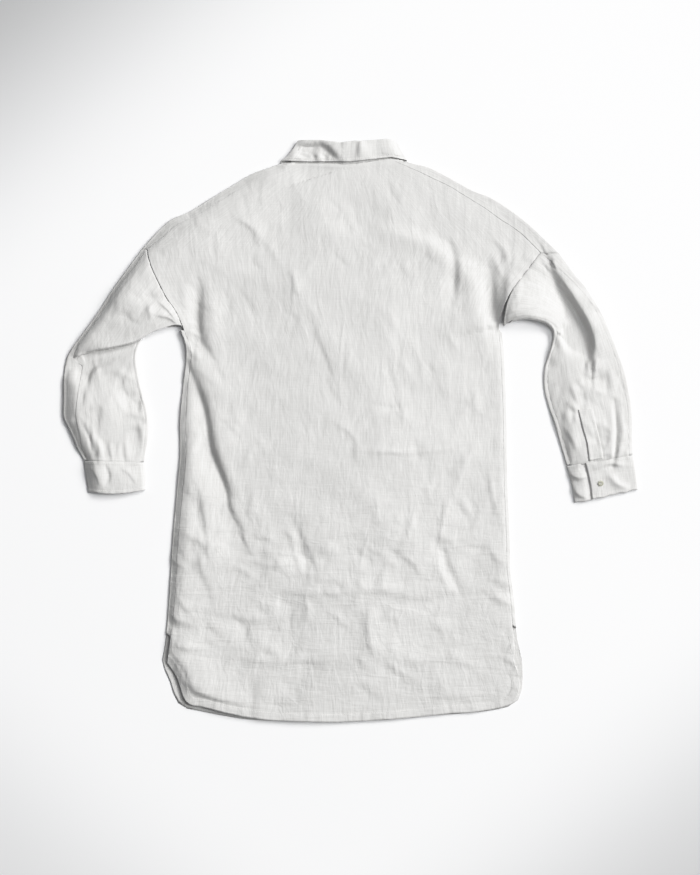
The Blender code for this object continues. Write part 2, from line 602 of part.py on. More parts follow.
make_sleeve_placket("sleeve_placket_left", [(-400, 36), (-398, -10), (-396, -47)],
                    [(-378, 36), (-377, -10), (-376, -47)], LAYER - 0.3, low)
cuff_top = float(high(*RIGHT_CUFF_BUTTON)) + WALL / 2
button("cuff_button_right", *RIGHT_CUFF_BUTTON, cuff_top + 0.5)
button("cuff_button_left", *LEFT_CUFF_BUTTON, 0.0)
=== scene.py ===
"""The looks of a long washed-linen shirt that lies flat with its back up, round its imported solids.

Lengths are millimetres until a mesh is made. x and y are as in the frame, and z = 0 is the floor.
"""

import math

import bmesh
import bpy
import numpy as np
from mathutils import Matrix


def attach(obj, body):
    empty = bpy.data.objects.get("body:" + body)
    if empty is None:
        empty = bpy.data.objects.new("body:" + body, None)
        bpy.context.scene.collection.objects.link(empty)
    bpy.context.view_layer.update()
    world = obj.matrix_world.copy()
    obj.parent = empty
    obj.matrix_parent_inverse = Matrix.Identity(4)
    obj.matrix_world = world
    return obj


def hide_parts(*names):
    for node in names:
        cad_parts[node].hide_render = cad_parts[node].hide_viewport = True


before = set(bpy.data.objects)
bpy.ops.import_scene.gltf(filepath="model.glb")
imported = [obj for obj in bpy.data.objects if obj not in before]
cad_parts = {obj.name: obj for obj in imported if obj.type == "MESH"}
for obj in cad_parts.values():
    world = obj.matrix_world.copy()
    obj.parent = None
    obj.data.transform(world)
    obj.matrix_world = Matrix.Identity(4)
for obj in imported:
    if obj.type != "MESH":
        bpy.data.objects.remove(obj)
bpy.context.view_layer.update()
bpy.ops.object.select_all(action="DESELECT")

# The floor and the light.
# The shirt lies on a pale sweep of paper. Two soft lamps side by side beyond its right act as one
# wide window, a round lamp overhead opens the shadows, and shade is painted into the paper's far
# corners.
MM = 0.001
FLOOR_SIZE = 9.0
FLOOR_DROP = 0.0004
PAPER_COLOUR = (0.97, 0.975, 0.985, 1.0)
# Each painted shade on the paper: its direction from the middle, the metres at which it starts
# and is full, and how much it darkens.
PAINTED_CORNER_SHADES = [(129.0, 0.50, 1.02, 0.50), (-51.7, 0.55, 1.0, 0.34), (-128.0, 0.60, 1.0, 0.22)]
# The picture's tones: straight in the darks, with a soft shoulder towards white.
WHITE_LEVEL = 1.3
TONE_CURVE = [(0.30, 0.24), (0.55, 0.50), (0.80, 0.76), (1.00, 0.93), (1.12, 0.985)]
KEY_LIGHTS = {"key_light_low": 4.0, "key_light_high": 40.0}
KEY_HEIGHT_DEG = 36.0
KEY_SOFTNESS_DEG = 22.0
KEY_STRENGTH = 1.76
ROOM_STRENGTH = 0.17
FILL_SIZE = 1.3
FILL_POWER = 20.0
CAMERA_LENS = 70.0
CAMERA_PLACE = (-0.0012, -0.0116, 2.813)


def reckon(tree, kind, *items):
    """A sum of numbers and sockets in a node tree."""
    node = tree.nodes.new("ShaderNodeMath")
    node.operation = kind
    for socket, item in zip(node.inputs, items):
        if isinstance(item, float):
            socket.default_value = item
        else:
            tree.links.new(item, socket)
    return node.outputs[0]


scene = bpy.context.scene
scene.view_settings.view_transform = "Standard"
scene.view_settings.look = "None"
scene.view_settings.use_curve_mapping = True
tone_curve = scene.view_settings.curve_mapping
tone_curve.white_level = (WHITE_LEVEL, WHITE_LEVEL, WHITE_LEVEL)
for level, shown in TONE_CURVE:
    tone_curve.curves[3].points.new(level / WHITE_LEVEL, shown)
tone_curve.update()

bpy.ops.mesh.primitive_plane_add(size=FLOOR_SIZE, location=(0.0, 0.0, -FLOOR_DROP))
floor = bpy.context.object
floor.name = "floor"
paper = bpy.data.materials.new("paper")
paper.use_nodes = True
paper_tree = paper.node_tree
paper_shader = paper_tree.nodes["Principled BSDF"]
paper_shader.inputs["Roughness"].default_value = 0.95
paper_shader.inputs["Specular IOR Level"].default_value = 0.1
paper_place = paper_tree.nodes.new("ShaderNodeTexCoord")
# Painted shade: the paper's colour darkens towards its far corners, as if less light fell there.
painted_corner_shade = 1.0
for turn_deg, start, full, darkening in PAINTED_CORNER_SHADES:
    turned = paper_tree.nodes.new("ShaderNodeMapping")
    turned.inputs["Location"].default_value = (-start / (full - start), 0.0, 0.0)
    turned.inputs["Rotation"].default_value = (0.0, 0.0, -math.radians(turn_deg))
    turned.inputs["Scale"].default_value = (1 / (full - start),) * 3
    slope = paper_tree.nodes.new("ShaderNodeTexGradient")
    slope.gradient_type = "EASING"
    paper_tree.links.new(paper_place.outputs["Object"], turned.inputs["Vector"])
    paper_tree.links.new(turned.outputs["Vector"], slope.inputs["Vector"])
    shade = reckon(paper_tree, "MULTIPLY_ADD", slope.outputs["Fac"], -darkening, 1.0)
    painted_corner_shade = reckon(paper_tree, "MULTIPLY", painted_corner_shade, shade)
# The paper's colour, darkened by the painted shade.
paper_colour_with_painted_shade = paper_tree.nodes.new("ShaderNodeMix")
paper_colour_with_painted_shade.data_type = "RGBA"
paper_colour_with_painted_shade.inputs["A"].default_value = (0.0, 0.0, 0.0, 1.0)
paper_colour_with_painted_shade.inputs["B"].default_value = PAPER_COLOUR
paper_tree.links.new(painted_corner_shade, paper_colour_with_painted_shade.inputs["Factor"])
paper_tree.links.new(paper_colour_with_painted_shade.outputs["Result"], paper_shader.inputs["Base Color"])
floor.data.materials.append(paper)

world = bpy.data.worlds.new("studio")
scene.world = world
world.use_nodes = True
room = world.node_tree.nodes["Background"]
room.inputs["Color"].default_value = (0.975, 0.985, 1.0, 1.0)
room.inputs["Strength"].default_value = ROOM_STRENGTH

for key_name, turn_deg in KEY_LIGHTS.items():
    bpy.ops.object.light_add(type="SUN", location=(1.5, 1.2, 1.6))
    key = bpy.context.object
    key.name = key_name
    key.data.energy = KEY_STRENGTH
    key.data.angle = math.radians(KEY_SOFTNESS_DEG)
    key.data.color = (1.0, 0.995, 0.985)
    key.rotation_euler = (0.0, math.radians(90 - KEY_HEIGHT_DEG), math.radians(turn_deg))

bpy.ops.object.light_add(type="AREA", location=(0.75, 0.55, 2.3))
fill = bpy.context.object
fill.name = "overhead_fill"
fill.data.shape = "DISK"
fill.data.size = FILL_SIZE
fill.data.energy = FILL_POWER
fill.rotation_euler = (math.radians(-12), math.radians(16), 0.0)

bpy.ops.object.camera_add(location=CAMERA_PLACE, rotation=(0.0, 0.0, 0.0))
camera = bpy.context.object
camera.name = "overhead"
camera.data.lens = CAMERA_LENS
camera.data.sensor_width = 36.0
camera.data.clip_end = 20.0
scene.camera = camera
bpy.ops.object.select_all(action="DESELECT")

# The back.
# One panel of washed plain-weave linen with a curved shirt-tail hem, cut with dropped
# shoulders. It lies loosely on the fronts, so its folds stand up and its long creases sink in.
WALL = 0.6
LAYER = 1.7              # from the middle of one layer to the middle of the next
REST = 0.6               # middle of a layer that lies on the floor
LOFT = 3.2               # air under the upper layer where no fold lifts it
CENTRE_FRONT_X = -12.0
BUTTON_THICK = 1.8
BUTTON_CLEAR = 0.35
LEFT_CUFF_BUTTON = (-396.0, -78.0)
# How far from the front band and from the left cuff's button the lifted cloth comes down, and
# over what length: the lower layer close by, the looser upper layer further off.
LOWER_REACH = (44.0, 26.0, 36.0, 22.0)
UPPER_REACH = (200.0, 156.0, 56.0, 42.0)
LEAST_LIFT = 1.2         # where folds sink lower, they level out
HEM_Y, HEM_CLIMB = -478.0, 70.0

# Outlines in plan, from the collar down, left and right as seen from above.
SHOULDER_SEAM_LEFT = [(-106, 436), (-124, 429), (-154, 417), (-192, 393), (-225, 372), (-256, 353),
                      (-288, 338), (-311, 317), (-336, 299)]
SHOULDER_SEAM_RIGHT = [(86, 438), (112, 427), (137, 415), (164, 402), (200, 380), (224, 365),
                       (246, 349), (279, 327), (314, 293)]
ARMHOLE_LEFT = [(-336, 299), (-328, 271), (-315, 242), (-302, 217), (-288, 197), (-277, 172)]
ARMHOLE_RIGHT = [(314, 293), (292, 265), (266, 232), (253, 207), (246, 182), (245, 168)]
SIDE_SEAM_LEFT = [(-275, 165), (-265, 138), (-264, 113), (-269, 75), (-272, 17), (-272, -40),
                  (-277, -98), (-285, -181), (-291, -280), (-298, -346), (-303, -384)]
SIDE_SEAM_RIGHT = [(244, 162), (247, 133), (250, 67), (252, 1), (253, -82), (257, -181),
                   (258, -230), (264, -280), (268, -329), (272, -364)]
BACK_HEM = [(-303, -384), (-295, -395), (-287, -408), (-281, -425), (-275, -443), (-264, -453),
            (-244, -456), (-206, -466), (-165, -474), (-118, -479), (-60, -480.5), (-12, -481),
            (60, -477), (120, -472), (165, -467), (205, -465), (246, -458), (266, -450),
            (276, -436), (279, -417), (275, -398), (268, -384), (271, -364)]

SHOULDER_EDGE_LEFT = [(-122, 438), (-137, 433), (-166, 422), (-203, 400), (-236, 380), (-265, 362),
                      (-298, 347), (-323, 324), (-345, 299)]
SIDE_EDGE_LEFT = [(-281, 165), (-273, 141), (-272, 116), (-277, 75), (-282, 17), (-282, -40),
                  (-287, -98), (-294, -181), (-300, -280), (-306, -346), (-311, -379)]
SIDE_EDGE_RIGHT = [(250, 162), (253, 133), (256, 67), (258, 1), (259, -82), (263, -181),
                   (264, -230), (270, -280), (274, -329), (279, -368)]
SLEEVE_EDGE_LEFT_UPPER = [(-345.8, 297.9), (-364, 273), (-381, 250), (-397, 227), (-414, 200),
                          (-430, 177), (-447, 154), (-460, 136), (-468, 122)]
SLEEVE_EDGE_LEFT_LOWER = [(-472, 108), (-474, 83), (-474, 50), (-474, 24), (-467, 7), (-458, -12),
                          (-450, -32), (-440, -49)]
SLEEVE_INNER_RIGHT = [(251, 170), (265, 179), (284, 183), (304, 181), (321, 176), (332, 166),
                      (334, 153), (330, 136), (325, 120), (320, 100), (320, 70), (327, 40),
                      (337, 11), (345, -17), (357, -57)]
CUFF_OUTER_LEFT = [(-440, -50), (-437, -75), (-433, -101)]
CUFF_INNER_LEFT = [(-341, -53), (-338.5, -75), (-339, -98)]
CUFF_OUTER_RIGHT = [(466, -40.6), (471, -70), (474, -97)]
CUFF_INNER_RIGHT = [(357, -58.6), (366, -92), (370, -120)]

# Soft folds, first those of the body, then those of the sleeves. Each has a height, or a depth
# below 0, the width to its left and to its right as its line is followed, and the line.
FOLDS = [
    (-8.5, 6, 32, [(-272, 113), (-257, 78), (-241, 30), (-232, -27), (-219, -65), (-206, -100),
                  (-202, -130), (-184, -166)]),
    (3.2, 44, 10, [(-250, 113), (-236, 78), (-221, 30), (-212, -27), (-196, -70), (-180, -110)]),
    (2.5, 14, 10, [(-272, 90), (-262, 40), (-258, -20), (-262, -60)]),
    (-3.5, 5, 24, [(-255, -98), (-248, -140), (-240, -190)]),
    (-6.0, 6, 14, [(-249, 240), (-252, 180), (-247, 144), (-232, 126)]),
    (2.0, 14, 14, [(-268, 240), (-275, 200)]),
    (3.5, 16, 16, [(-228, 230), (-230, 180), (-218, 140)]),
    (-8.0, 8, 18, [(230, 262), (232, 216), (238, 190), (248, 160)]),
    (3.0, 18, 22, [(206, 240), (208, 200), (220, 160), (232, 130)]),
    (-4.5, 5, 14, [(167, 303), (172, 265), (169, 215)]),
    (4.5, 14, 20, [(48, 327), (115, 311), (148, 290), (165, 272)]),
    (3.5, 16, 16, [(172, 278), (196, 248), (213, 229)]),
    (2.5, 22, 22, [(-100, 268), (-90, 228), (-80, 200)]),
    (2.5, 30, 30, [(0, -30), (120, -32), (200, -40)]),
    (2.5, 26, 26, [(-150, -255), (-60, -250), (60, -262), (160, -258)]),
    (2.5, 20, 20, [(-190, -370), (-60, -374), (90, -366)]),
    (2.5, 24, 24, [(35, -280), (33, -340), (40, -400)]),
    (-1.7, 5, 16, [(-98, -146), (-84, -184), (-74, -226), (-76, -262)]),
    (-1.5, 5, 14, [(150, -186), (160, -222), (176, -256)]),
    (-2.0, 6, 18, [(-262, -190), (-250, -236), (-232, -280)]),
    (-2.4, 5, 18, [(-246, -300), (-170, -318), (-80, -312)]),
    (-1.7, 5, 16, [(30, -272), (110, -282), (190, -270)]),
    (-1.6, 4, 14, [(-66, 190), (-56, 150), (-40, 112), (-26, 72)]),
    (3.0, 26, 26, [(-236, -464), (-140, -474), (-20, -478)]),
    (5.5, 40, 24, [(-280, -350), (-268, -392), (-246, -420), (-205, -436), (-160, -444)]),
    (18.0, 46, 11, [(252, 176), (284, 184), (312, 182), (335, 166)]),
    (6.0, 50, 8, [(264, 262), (259, 226), (257, 196), (262, 178)]),
    (13.0, 40, 7, [(340, 264), (355, 240), (370, 216), (386, 189), (398, 164), (403, 141), (402, 118)]),
    (-9.0, 8, 26, [(331, 256), (344, 235), (358, 214), (374, 187), (386, 164), (391, 141),
                   (390, 120)]),
    (-19.0, 11, 13, [(348, 164), (362, 153), (380, 140)]),
    (7.0, 10, 8, [(342, 164), (348, 148), (350, 134)]),
    (4.0, 14, 14, [(436, 34), (441, -10), (438, -40)]),
    (3.0, 12, 12, [(350, 40), (362, 0), (370, -40)]),
    (5.0, 30, 30, [(-345, 240), (-385, 195), (-420, 160)]),
    (3.0, 20, 20, [(-300, 200), (-335, 188), (-370, 170)]),
    (4.0, 22, 22, [(-400, 90), (-396, 40), (-390, -10)]),
    (-2.0, 4, 4, [(-445, 17), (-428, -16), (-419, -49)]),
    (2.0, 6, 6, [(-436, 10), (-420, -20), (-410, -49)]),
    (-14.0, 14, 28, [(-478, 108), (-452, 113), (-424, 120)]),
    (-4.5, 5, 16, [(-404, 112), (-420, 106), (-432, 92), (-436, 66)]),
    (-3.0, 3, 3, [(-446, 116), (-460, 113), (-476, 106)]),
    (-3.5, 3.5, 3, [(434, 50), (437, 10), (436, -30), (432, -60)]),
]
# Smaller creases, on the back and the sleeves.
CREASES = [
    (1.3, 4, 3, [(-100, 268), (-93, 246), (-90, 229), (-80, 226)]),
    (1.2, 4, 4, [(-267, 176), (-251, 172)]),
    (1.0, 3, 3, [(63, 99), (75, 58), (88, 20), (70, 40)]),
    (-1.2, 5, 3, [(60, 110), (73, 66), (84, 28)]),
    (1.2, 3, 3, [(160, -110), (151, -150), (146, -190)]),
    (1.0, 3, 3, [(226, -60), (232, -98), (240, -140)]),
    (-1.3, 9, 4, [(150, -185), (158, -225), (178, -262), (182, -290)]),
    (0.9, 9, 6, [(140, -190), (146, -230), (166, -270)]),
    (0.9, 8, 4, [(104, -130), (96, -160), (80, -210)]),
    (-1.4, 5, 8, [(-90, -150), (-76, -190), (-60, -230), (-62, -262)]),
    (1.0, 9, 5, [(-104, -150), (-92, -200), (-76, -250)]),
    (1.3, 4, 4, [(30, -290), (28, -330), (36, -372)]),
    (1.0, 4, 4, [(-180, -214), (-120, -222), (-70, -218)]),
    (1.0, 3, 3, [(8, -32), (90, -36), (178, -30)]),
    (1.0, 3, 3, [(-130, -262), (-60, -268), (40, -262), (110, -268)]),
    (1.2, 4, 4, [(-200, -372), (-120, -380), (-30, -376)]),
    (1.2, 4, 4, [(60, -374), (120, -378), (190, -370)]),
    (1.0, 3, 3, [(-170, -436), (-100, -444), (-20, -440)]),
    (1.0, 3, 3, [(150, -440), (200, -436), (240, -430)]),
    (1.3, 5, 4, [(-190, 352), (-160, 330), (-150, 300)]),
    (1.3, 5, 4, [(232, 320), (250, 300), (262, 270)]),
    (1.2, 4, 4, [(262, 304), (256, 284), (250, 268)]),
    (1.2, 4, 4, [(-334, 210), (-327, 180)]),
    (1.0, 4, 4, [(-452, 112), (-462, 92), (-470, 70)]),
    (1.4, 5, 5, [(-385, 100), (-366, 88), (-352, 84)]),
    (-1.3, 5, 5, [(-378, 70), (-360, 50), (-340, 44)]),
    (1.4, 5, 5, [(-352, 20), (-345, 0), (-344, -20)]),
    (1.3, 4, 4, [(-420, -8), (-412, -30), (-408, -48)]),
    (1.4, 4, 4, [(362, 76), (368, 60), (374, 46)]),
    (1.6, 5, 5, [(410, 18), (420, 0), (428, -20)]),
    (-1.4, 4, 4, [(434, 50), (440, 34), (442, -10), (434, -56)]),
    (1.4, 5, 5, [(356, -10), (362, -34), (366, -56)]),
    (1.2, 4, 4, [(398, 18), (410, 6), (414, -14)]),
    (2.6, 5, 5, [(-272, -416), (-250, -430), (-222, -441), (-186, -450)]),
    (1.6, 4, 4, [(-292, -352), (-270, -358), (-240, -356)]),
    (1.4, 4, 4, [(-300, -300), (-284, -312), (-262, -310)]),
    (0.8, 3, 3, [(-84, 438), (-18, 434.5), (32, 438)]),
    (2.0, 7, 3, [(-322, 190), (-300, 186), (-286, 176)]),
    (1.6, 6, 3, [(-318, 214), (-300, 198), (-288, 182)]),
    (1.5, 3, 6, [(-268, 168), (-256, 158), (-244, 154)]),
    (1.6, 3, 7, [(-272, 150), (-262, 130), (-250, 118)]),
    (-2.2, 3, 7, [(-340, 62), (-352, 56), (-366, 58)]),
    (1.5, 3, 6, [(-372, 30), (-352, 26), (-336, 30)]),
    (1.6, 3, 8, [(-444, 100), (-430, 96), (-412, 104)]),
    (-1.8, 3, 8, [(-430, 112), (-402, 116), (-370, 120)]),
    (1.5, 5, 3, [(-398, -20), (-394, -40), (-392, -52)]),
    (1.5, 5, 3, [(-372, -14), (-370, -36), (-370, -54)]),
    (-1.8, 4, 4, [(-404, -55), (-398, -75), (-404, -92)]),
    (0.9, 6, 3, [(-380, -60), (-364, -72), (-352, -90)]),
    (1.4, 6, 3, [(-428, -60), (-418, -74), (-412, -92)]),
    (3.4, 8, 3, [(398, -64), (424, -54), (452, -58)]),
    (-3.2, 3, 8, [(396, -52), (418, -44), (438, -48)]),
    (3.2, 8, 3, [(360, -70), (374, -78), (390, -74)]),
    (3.0, 8, 3, [(366, -94), (376, -106), (392, -112)]),
    (2.8, 3, 8, [(424, -70), (440, -88), (462, -96)]),
    (2.0, 6, 3, [(350, 8), (362, -10), (372, -34)]),
    (1.8, 6, 3, [(356, 48), (368, 34), (372, 12)]),
    (-1.8, 3, 7, [(382, 90), (400, 84), (424, 92)]),
    (1.6, 3, 7, [(388, 60), (402, 66), (420, 60)]),
    (-2.0, 3, 7, [(414, 8), (424, -6), (420, -26)]),
    (1.2, 3, 3, [(232, 292), (243, 268), (252, 248)]),
    (1.4, 6, 3, [(244, 178), (262, 194), (284, 206)]),
]


def smooth_step(value):
    """0 below 0, 1 above 1 and smooth between."""
    value = np.clip(value, 0.0, 1.0)
    return value * value * (3.0 - 2.0 * value)


def lengths_along(line):
    """How far along a line of points each of them lies."""
    return np.concatenate([[0.0], np.cumsum(np.linalg.norm(np.diff(line, axis=0), axis=1))])


def spaced(points, count):
    """count points at equal distances along a smooth curve through points."""
    points = np.array(points, float)
    before = np.vstack([2 * points[0] - points[1], points, 2 * points[-1] - points[-2]])
    steps = np.linspace(0.0, 1.0, 17)[:-1, None]
    fine = []
    for a, b, c, d in zip(before, before[1:], before[2:], before[3:]):
        fine.append(0.5 * (2 * b + (c - a) * steps + (2 * a - 5 * b + 4 * c - d) * steps ** 2
                           + (3 * b - a - 3 * c + d) * steps ** 3))
    fine = np.vstack(fine + [points[-1:]])
    run = lengths_along(fine)
    at = np.linspace(0.0, run[-1], count)
    return np.stack([np.interp(at, run, fine[:, axis]) for axis in (0, 1)], axis=1)


def nearest(x, y, path):
    """From each point to the nearest place of a line: the distance, how far along the line that
    place lies, the way from it to the point, and above 0 on the line's left."""
    distance = np.full(x.shape, 1e9)
    share, away_x, away_y, side = np.zeros((4, *x.shape))
    for index, (start, end) in enumerate(zip(path, path[1:])):
        along = end - start
        where = ((x - start[0]) * along[0] + (y - start[1]) * along[1]) / (along @ along)
        where = np.clip(where, 0.0, 1.0)
        across_x = x - start[0] - where * along[0]
        across_y = y - start[1] - where * along[1]
        closer = np.hypot(across_x, across_y) < distance
        distance = np.where(closer, np.hypot(across_x, across_y), distance)
        share = np.where(closer, (index + where) / (len(path) - 1), share)
        away_x = np.where(closer, across_x, away_x)
        away_y = np.where(closer, across_y, away_y)
        side = np.where(closer, along[0] * across_y - along[1] * across_x, side)
    return distance, share, away_x, away_y, side


# The side of a crease that falls away gently, as a direction in plan.
GENTLE_SIDE = (0.94, 0.34)


def crease_sum(x, y, table, crisp):
    """What a table of folds adds at each point. Crisp ones have a narrow crest; a ridge is gentle
    towards the right and steep towards the left, and a groove the other way round."""
    x, y = np.broadcast_arrays(np.asarray(x, float), np.asarray(y, float))
    total = np.zeros(x.shape)
    for height, left_width, right_width, points in table:
        path = spaced(points, 4 * len(points))
        reach = 4.0 * max(left_width, right_width)
        close = ((x > path[:, 0].min() - reach) & (x < path[:, 0].max() + reach)
                 & (y > path[:, 1].min() - reach) & (y < path[:, 1].max() + reach))
        if not close.any():
            continue
        distance, share, away_x, away_y, side = nearest(x[close], y[close], path)
        width = np.where(side > 0, left_width, right_width)
        if crisp:
            gentle = (away_x * GENTLE_SIDE[0] + away_y * GENTLE_SIDE[1]) / (distance + 0.01)
            width = width * (1.45 + 0.65 * gentle * math.copysign(1.0, height))
            ends = np.sin(math.pi * np.clip(share, 0.02, 0.98)) ** 0.7
            form = 1.5 * np.exp(-(np.hypot(distance, 0.5 * width) - 0.5 * width) / (0.6 * width))
        else:
            ends = 0.35 + 0.65 * np.sin(math.pi * share)
            form = np.exp(-((distance / width) ** 2))
        total[close] += height * ends * form
    return total


def rumple_table(seed, count, low_corner, high_corner, lean_deg, spread_deg, height, length):
    """Small wrinkles of washed linen, spread over a part of the shirt and leaning one way."""
    draw = np.random.default_rng(seed)
    table = []
    for _ in range(count):
        x, y = draw.uniform(low_corner, high_corner)
        turn = math.radians(lean_deg + draw.normal(0.0, spread_deg))
        reach = length * draw.uniform(0.4, 1.3)
        bend = reach * draw.normal(0.0, 0.12)
        step = np.array([math.cos(turn), math.sin(turn)]) * reach / 2
        side = np.array([-math.sin(turn), math.cos(turn)]) * bend
        middle = np.array([x, y])
        rise = height * draw.uniform(0.3, 1.0) * (1 if draw.random() < 0.55 else -1)
        width = draw.uniform(3.6, 6.5)
        table.append((rise, width, width, [middle - step, middle + side, middle + step]))
    return table


# For each part: a seed, how many wrinkles, its lower left and upper right corners, the way they
# lean and how much that varies in degrees, their height and their length.
RUMPLES = (rumple_table(1, 190, (-300, -470), (275, -170), 5, 36, 1.15, 54)
           + rumple_table(2, 90, (-300, -190), (255, 60), 80, 36, 0.8, 70)
           + rumple_table(3, 70, (-280, 60), (250, 420), 95, 34, 0.65, 60)
           + rumple_table(4, 44, (-474, -50), (-330, 120), 70, 40, 1.3, 40)
           + rumple_table(5, 44, (320, -60), (466, 110), 75, 40, 1.3, 40)
           + rumple_table(6, 30, (-440, 130), (-290, 290), 35, 30, 1.0, 46)
           + rumple_table(7, 30, (260, 130), (440, 290), 140, 30, 1.1, 46))


def soft_noise(x, y, size, seed):
    """Low swells of loose cloth, between -1 and 1."""
    draw = np.random.default_rng(seed)
    total = np.zeros(np.shape(x))
    for _ in range(14):
        turn = draw.uniform(0.0, math.pi)
        wave = size * draw.uniform(0.7, 1.9)
        phase = draw.uniform(0.0, 2 * math.pi)
        total = total + np.sin(2 * math.pi * (x * math.cos(turn) + y * math.sin(turn)) / wave + phase)
    return total / 5.0


# Where the upper layer slopes down to the outline: how far in the slope reaches, how much of
# the height is left at the outline, and the outline.
EDGE_FALLS = [
    (26.0, 0.10, SLEEVE_EDGE_LEFT_UPPER[-1:] + SLEEVE_EDGE_LEFT_LOWER[:-1] + CUFF_OUTER_LEFT),
    (18.0, 0.04, SHOULDER_EDGE_LEFT[:1] + SHOULDER_EDGE_LEFT[2:-1] + [(-345, 298)]
     + SLEEVE_EDGE_LEFT_UPPER[1:]),
    (13.0, 0.06, SIDE_EDGE_LEFT[3:]),
    (24.0, 0.30, BACK_HEM[:9]),
    (38.0, 0.12, SLEEVE_INNER_RIGHT[9:] + CUFF_INNER_RIGHT[1:]),
    (7.0, 0.80, SLEEVE_INNER_RIGHT[:7]),
    (12.0, 0.40, SIDE_EDGE_RIGHT[::2] + SIDE_EDGE_RIGHT[-1:]),
    (8.0, 0.35, [(-333, 9), (-335, -16), (-341, -53), (-338, -75), (-339, -98)]),
]
# Broad swells that fill the sleeves and the shoulders.
SWELLS = [
    (10.0, 70, 30, [(-450, 92), (-450, 60), (-446, 10), (-432, -50), (-428, -80)]),
    (13.0, 30, 80, [(-452, 112), (-385, 196), (-318, 276), (-236, 335), (-150, 385), (-110, 400)]),
    (5.0, 50, 34, [(372, 110), (376, 50), (388, -10), (402, -60), (408, -100)]),
    (6.0, 54, 14, [(-424, -45), (-422, -75), (-418, -105)]),
    (7.5, 90, 18, [(-256, 100), (-258, 20), (-260, -60), (-266, -160), (-276, -270), (-286, -372)]),
    (3.0, 60, 60, [(-330, 240), (-370, 195), (-400, 170)]),
    (6.5, 180, 200, [(70, 330), (10, 0), (0, -300)]),
]


def edge_fall(x, y):
    """What share of its height the upper layer keeps near the outlines."""
    kept = np.ones(np.shape(x))
    for width, least, points in EDGE_FALLS:
        path = spaced(points, 4 * len(points))
        away = nearest(x, y, path)[0]
        inward = np.clip(away / width, 0.0, 1.0)
        kept = np.minimum(kept, least + (1 - least) * np.sin(0.5 * math.pi * inward) ** 0.9)
    return kept


def over_buttons(x, y, reach):
    """How much the cloth is lifted by the front buttons and by the left cuff's."""
    band_reach, band_slope, button_reach, button_slope = reach
    from_band = np.abs(x - CENTRE_FRONT_X)
    from_button = np.hypot(x - LEFT_CUFF_BUTTON[0], y - LEFT_CUFF_BUTTON[1])
    over_band = smooth_step((band_reach - from_band) / band_slope)
    over_button = smooth_step((button_reach - from_button) / button_slope)
    return (BUTTON_THICK + BUTTON_CLEAR) * np.maximum(over_band, over_button)


def low(x, y):
    """Middle of the lower layer, which rises onto the buttons that lie under it."""
    return REST + over_buttons(x, y, LOWER_REACH)


def high(x, y):
    """Middle of the upper layer: it lies loosely on the lower one, whose steps it bridges, with
    air and folds under it."""
    x, y = np.broadcast_arrays(np.asarray(x, float), np.asarray(y, float))
    bed = REST + over_buttons(x, y, UPPER_REACH)
    hem_rise = smooth_step((y - HEM_Y) / HEM_CLIMB)
    small = crease_sum(x, y, CREASES, True) + crease_sum(x, y, RUMPLES, True)
    small = small + 1.3 * soft_noise(x, y, 110.0, 21) + 0.3 * soft_noise(x, y, 42.0, 22)
    lift = (LOFT + crease_sum(x, y, SWELLS, False)) * (0.30 + 0.70 * hem_rise)
    lift = (lift + crease_sum(x, y, FOLDS, False)) * edge_fall(x, y)
    lift = lift + small * (0.45 + 0.55 * hem_rise)
    levelled = LEAST_LIFT * np.exp((lift - LEAST_LIFT) / LEAST_LIFT)
    return bed + LAYER + np.where(lift > LEAST_LIFT, lift, levelled)


def pucker(along, seed):
    """How a seam draws the cloth up and down along its length."""
    draw = np.random.default_rng(seed)
    total = np.zeros(np.shape(along))
    for _ in range(9):
        wave = draw.uniform(7.0, 26.0)
        total = total + np.sin(2 * math.pi * along / wave + draw.uniform(0.0, 2 * math.pi))
    return total / 3.5


def edge_shares(count, width):
    """Shares across a panel that is about width wide, crowded at both edges."""
    close = np.array([0.0, 0.9, 2.2, 4.0, 6.5]) / width
    middle = np.linspace(close[-1], 1.0 - close[-1], count)
    return np.concatenate([close[:-1], middle, 1.0 - close[-2::-1]])


def patch_between(starts, ends, columns, layer):
    """A grid of points on straight rows from starts to ends, at the layer's height."""
    share = np.asarray(columns)[None, :, None]
    plan = starts[:, None, :] * (1 - share) + ends[:, None, :] * share
    return np.dstack([plan, layer(plan[..., 0], plan[..., 1])])


def seam_edges(grid, left, right):
    """Puckers both edges of a grid along their seams, and steps them up or down."""
    for edge, (seed, step) in ((0, left), (-1, right)):
        line = grid[:, edge, :2]
        away = np.linalg.norm(grid[..., :2] - line[:, None, :], axis=2)
        ripple = 0.12 * pucker(lengths_along(line), seed)[:, None] * np.exp(-away / 9.0)
        grid[..., 2] += ripple + step * np.exp(-away / 6.0) - 0.12 * np.exp(-((away / 1.1) ** 2))
    return grid


def bent_to_hem(rows, hem, columns, tail_rows):
    """The last rows, pushed down step by step until the last one is the hem."""
    along = np.linspace(0.0, 1.0, 600)
    fine = spaced(hem, 600)
    at_hem = np.stack([np.interp(columns, along, fine[:, axis]) for axis in (0, 1)], axis=1)
    drop = at_hem - rows[-1, :, :2]
    for step in range(tail_rows + 1):
        row = len(rows) - 1 - tail_rows + step
        rows[row, :, :2] += drop * (step / tail_rows) ** 1.3
    return rows


def streaks(tree, place, scale, detail, turn_deg=0.0, shift=0.0, roughness=0.5, distortion=0.0):
    """Noise drawn out into streaks, for threads and for crinkles."""
    mapping = tree.nodes.new("ShaderNodeMapping")
    mapping.inputs["Location"].default_value = (shift, 0.37 * shift, 0.0)
    mapping.inputs["Rotation"].default_value = (0.0, 0.0, math.radians(turn_deg))
    mapping.inputs["Scale"].default_value = scale
    noise = tree.nodes.new("ShaderNodeTexNoise")
    noise.inputs["Scale"].default_value = 1.0
    noise.inputs["Detail"].default_value = detail
    noise.inputs["Roughness"].default_value = roughness
    noise.inputs["Distortion"].default_value = distortion
    tree.links.new(place, mapping.inputs["Vector"])
    tree.links.new(mapping.outputs["Vector"], noise.inputs["Vector"])
    return noise.outputs["Fac"]


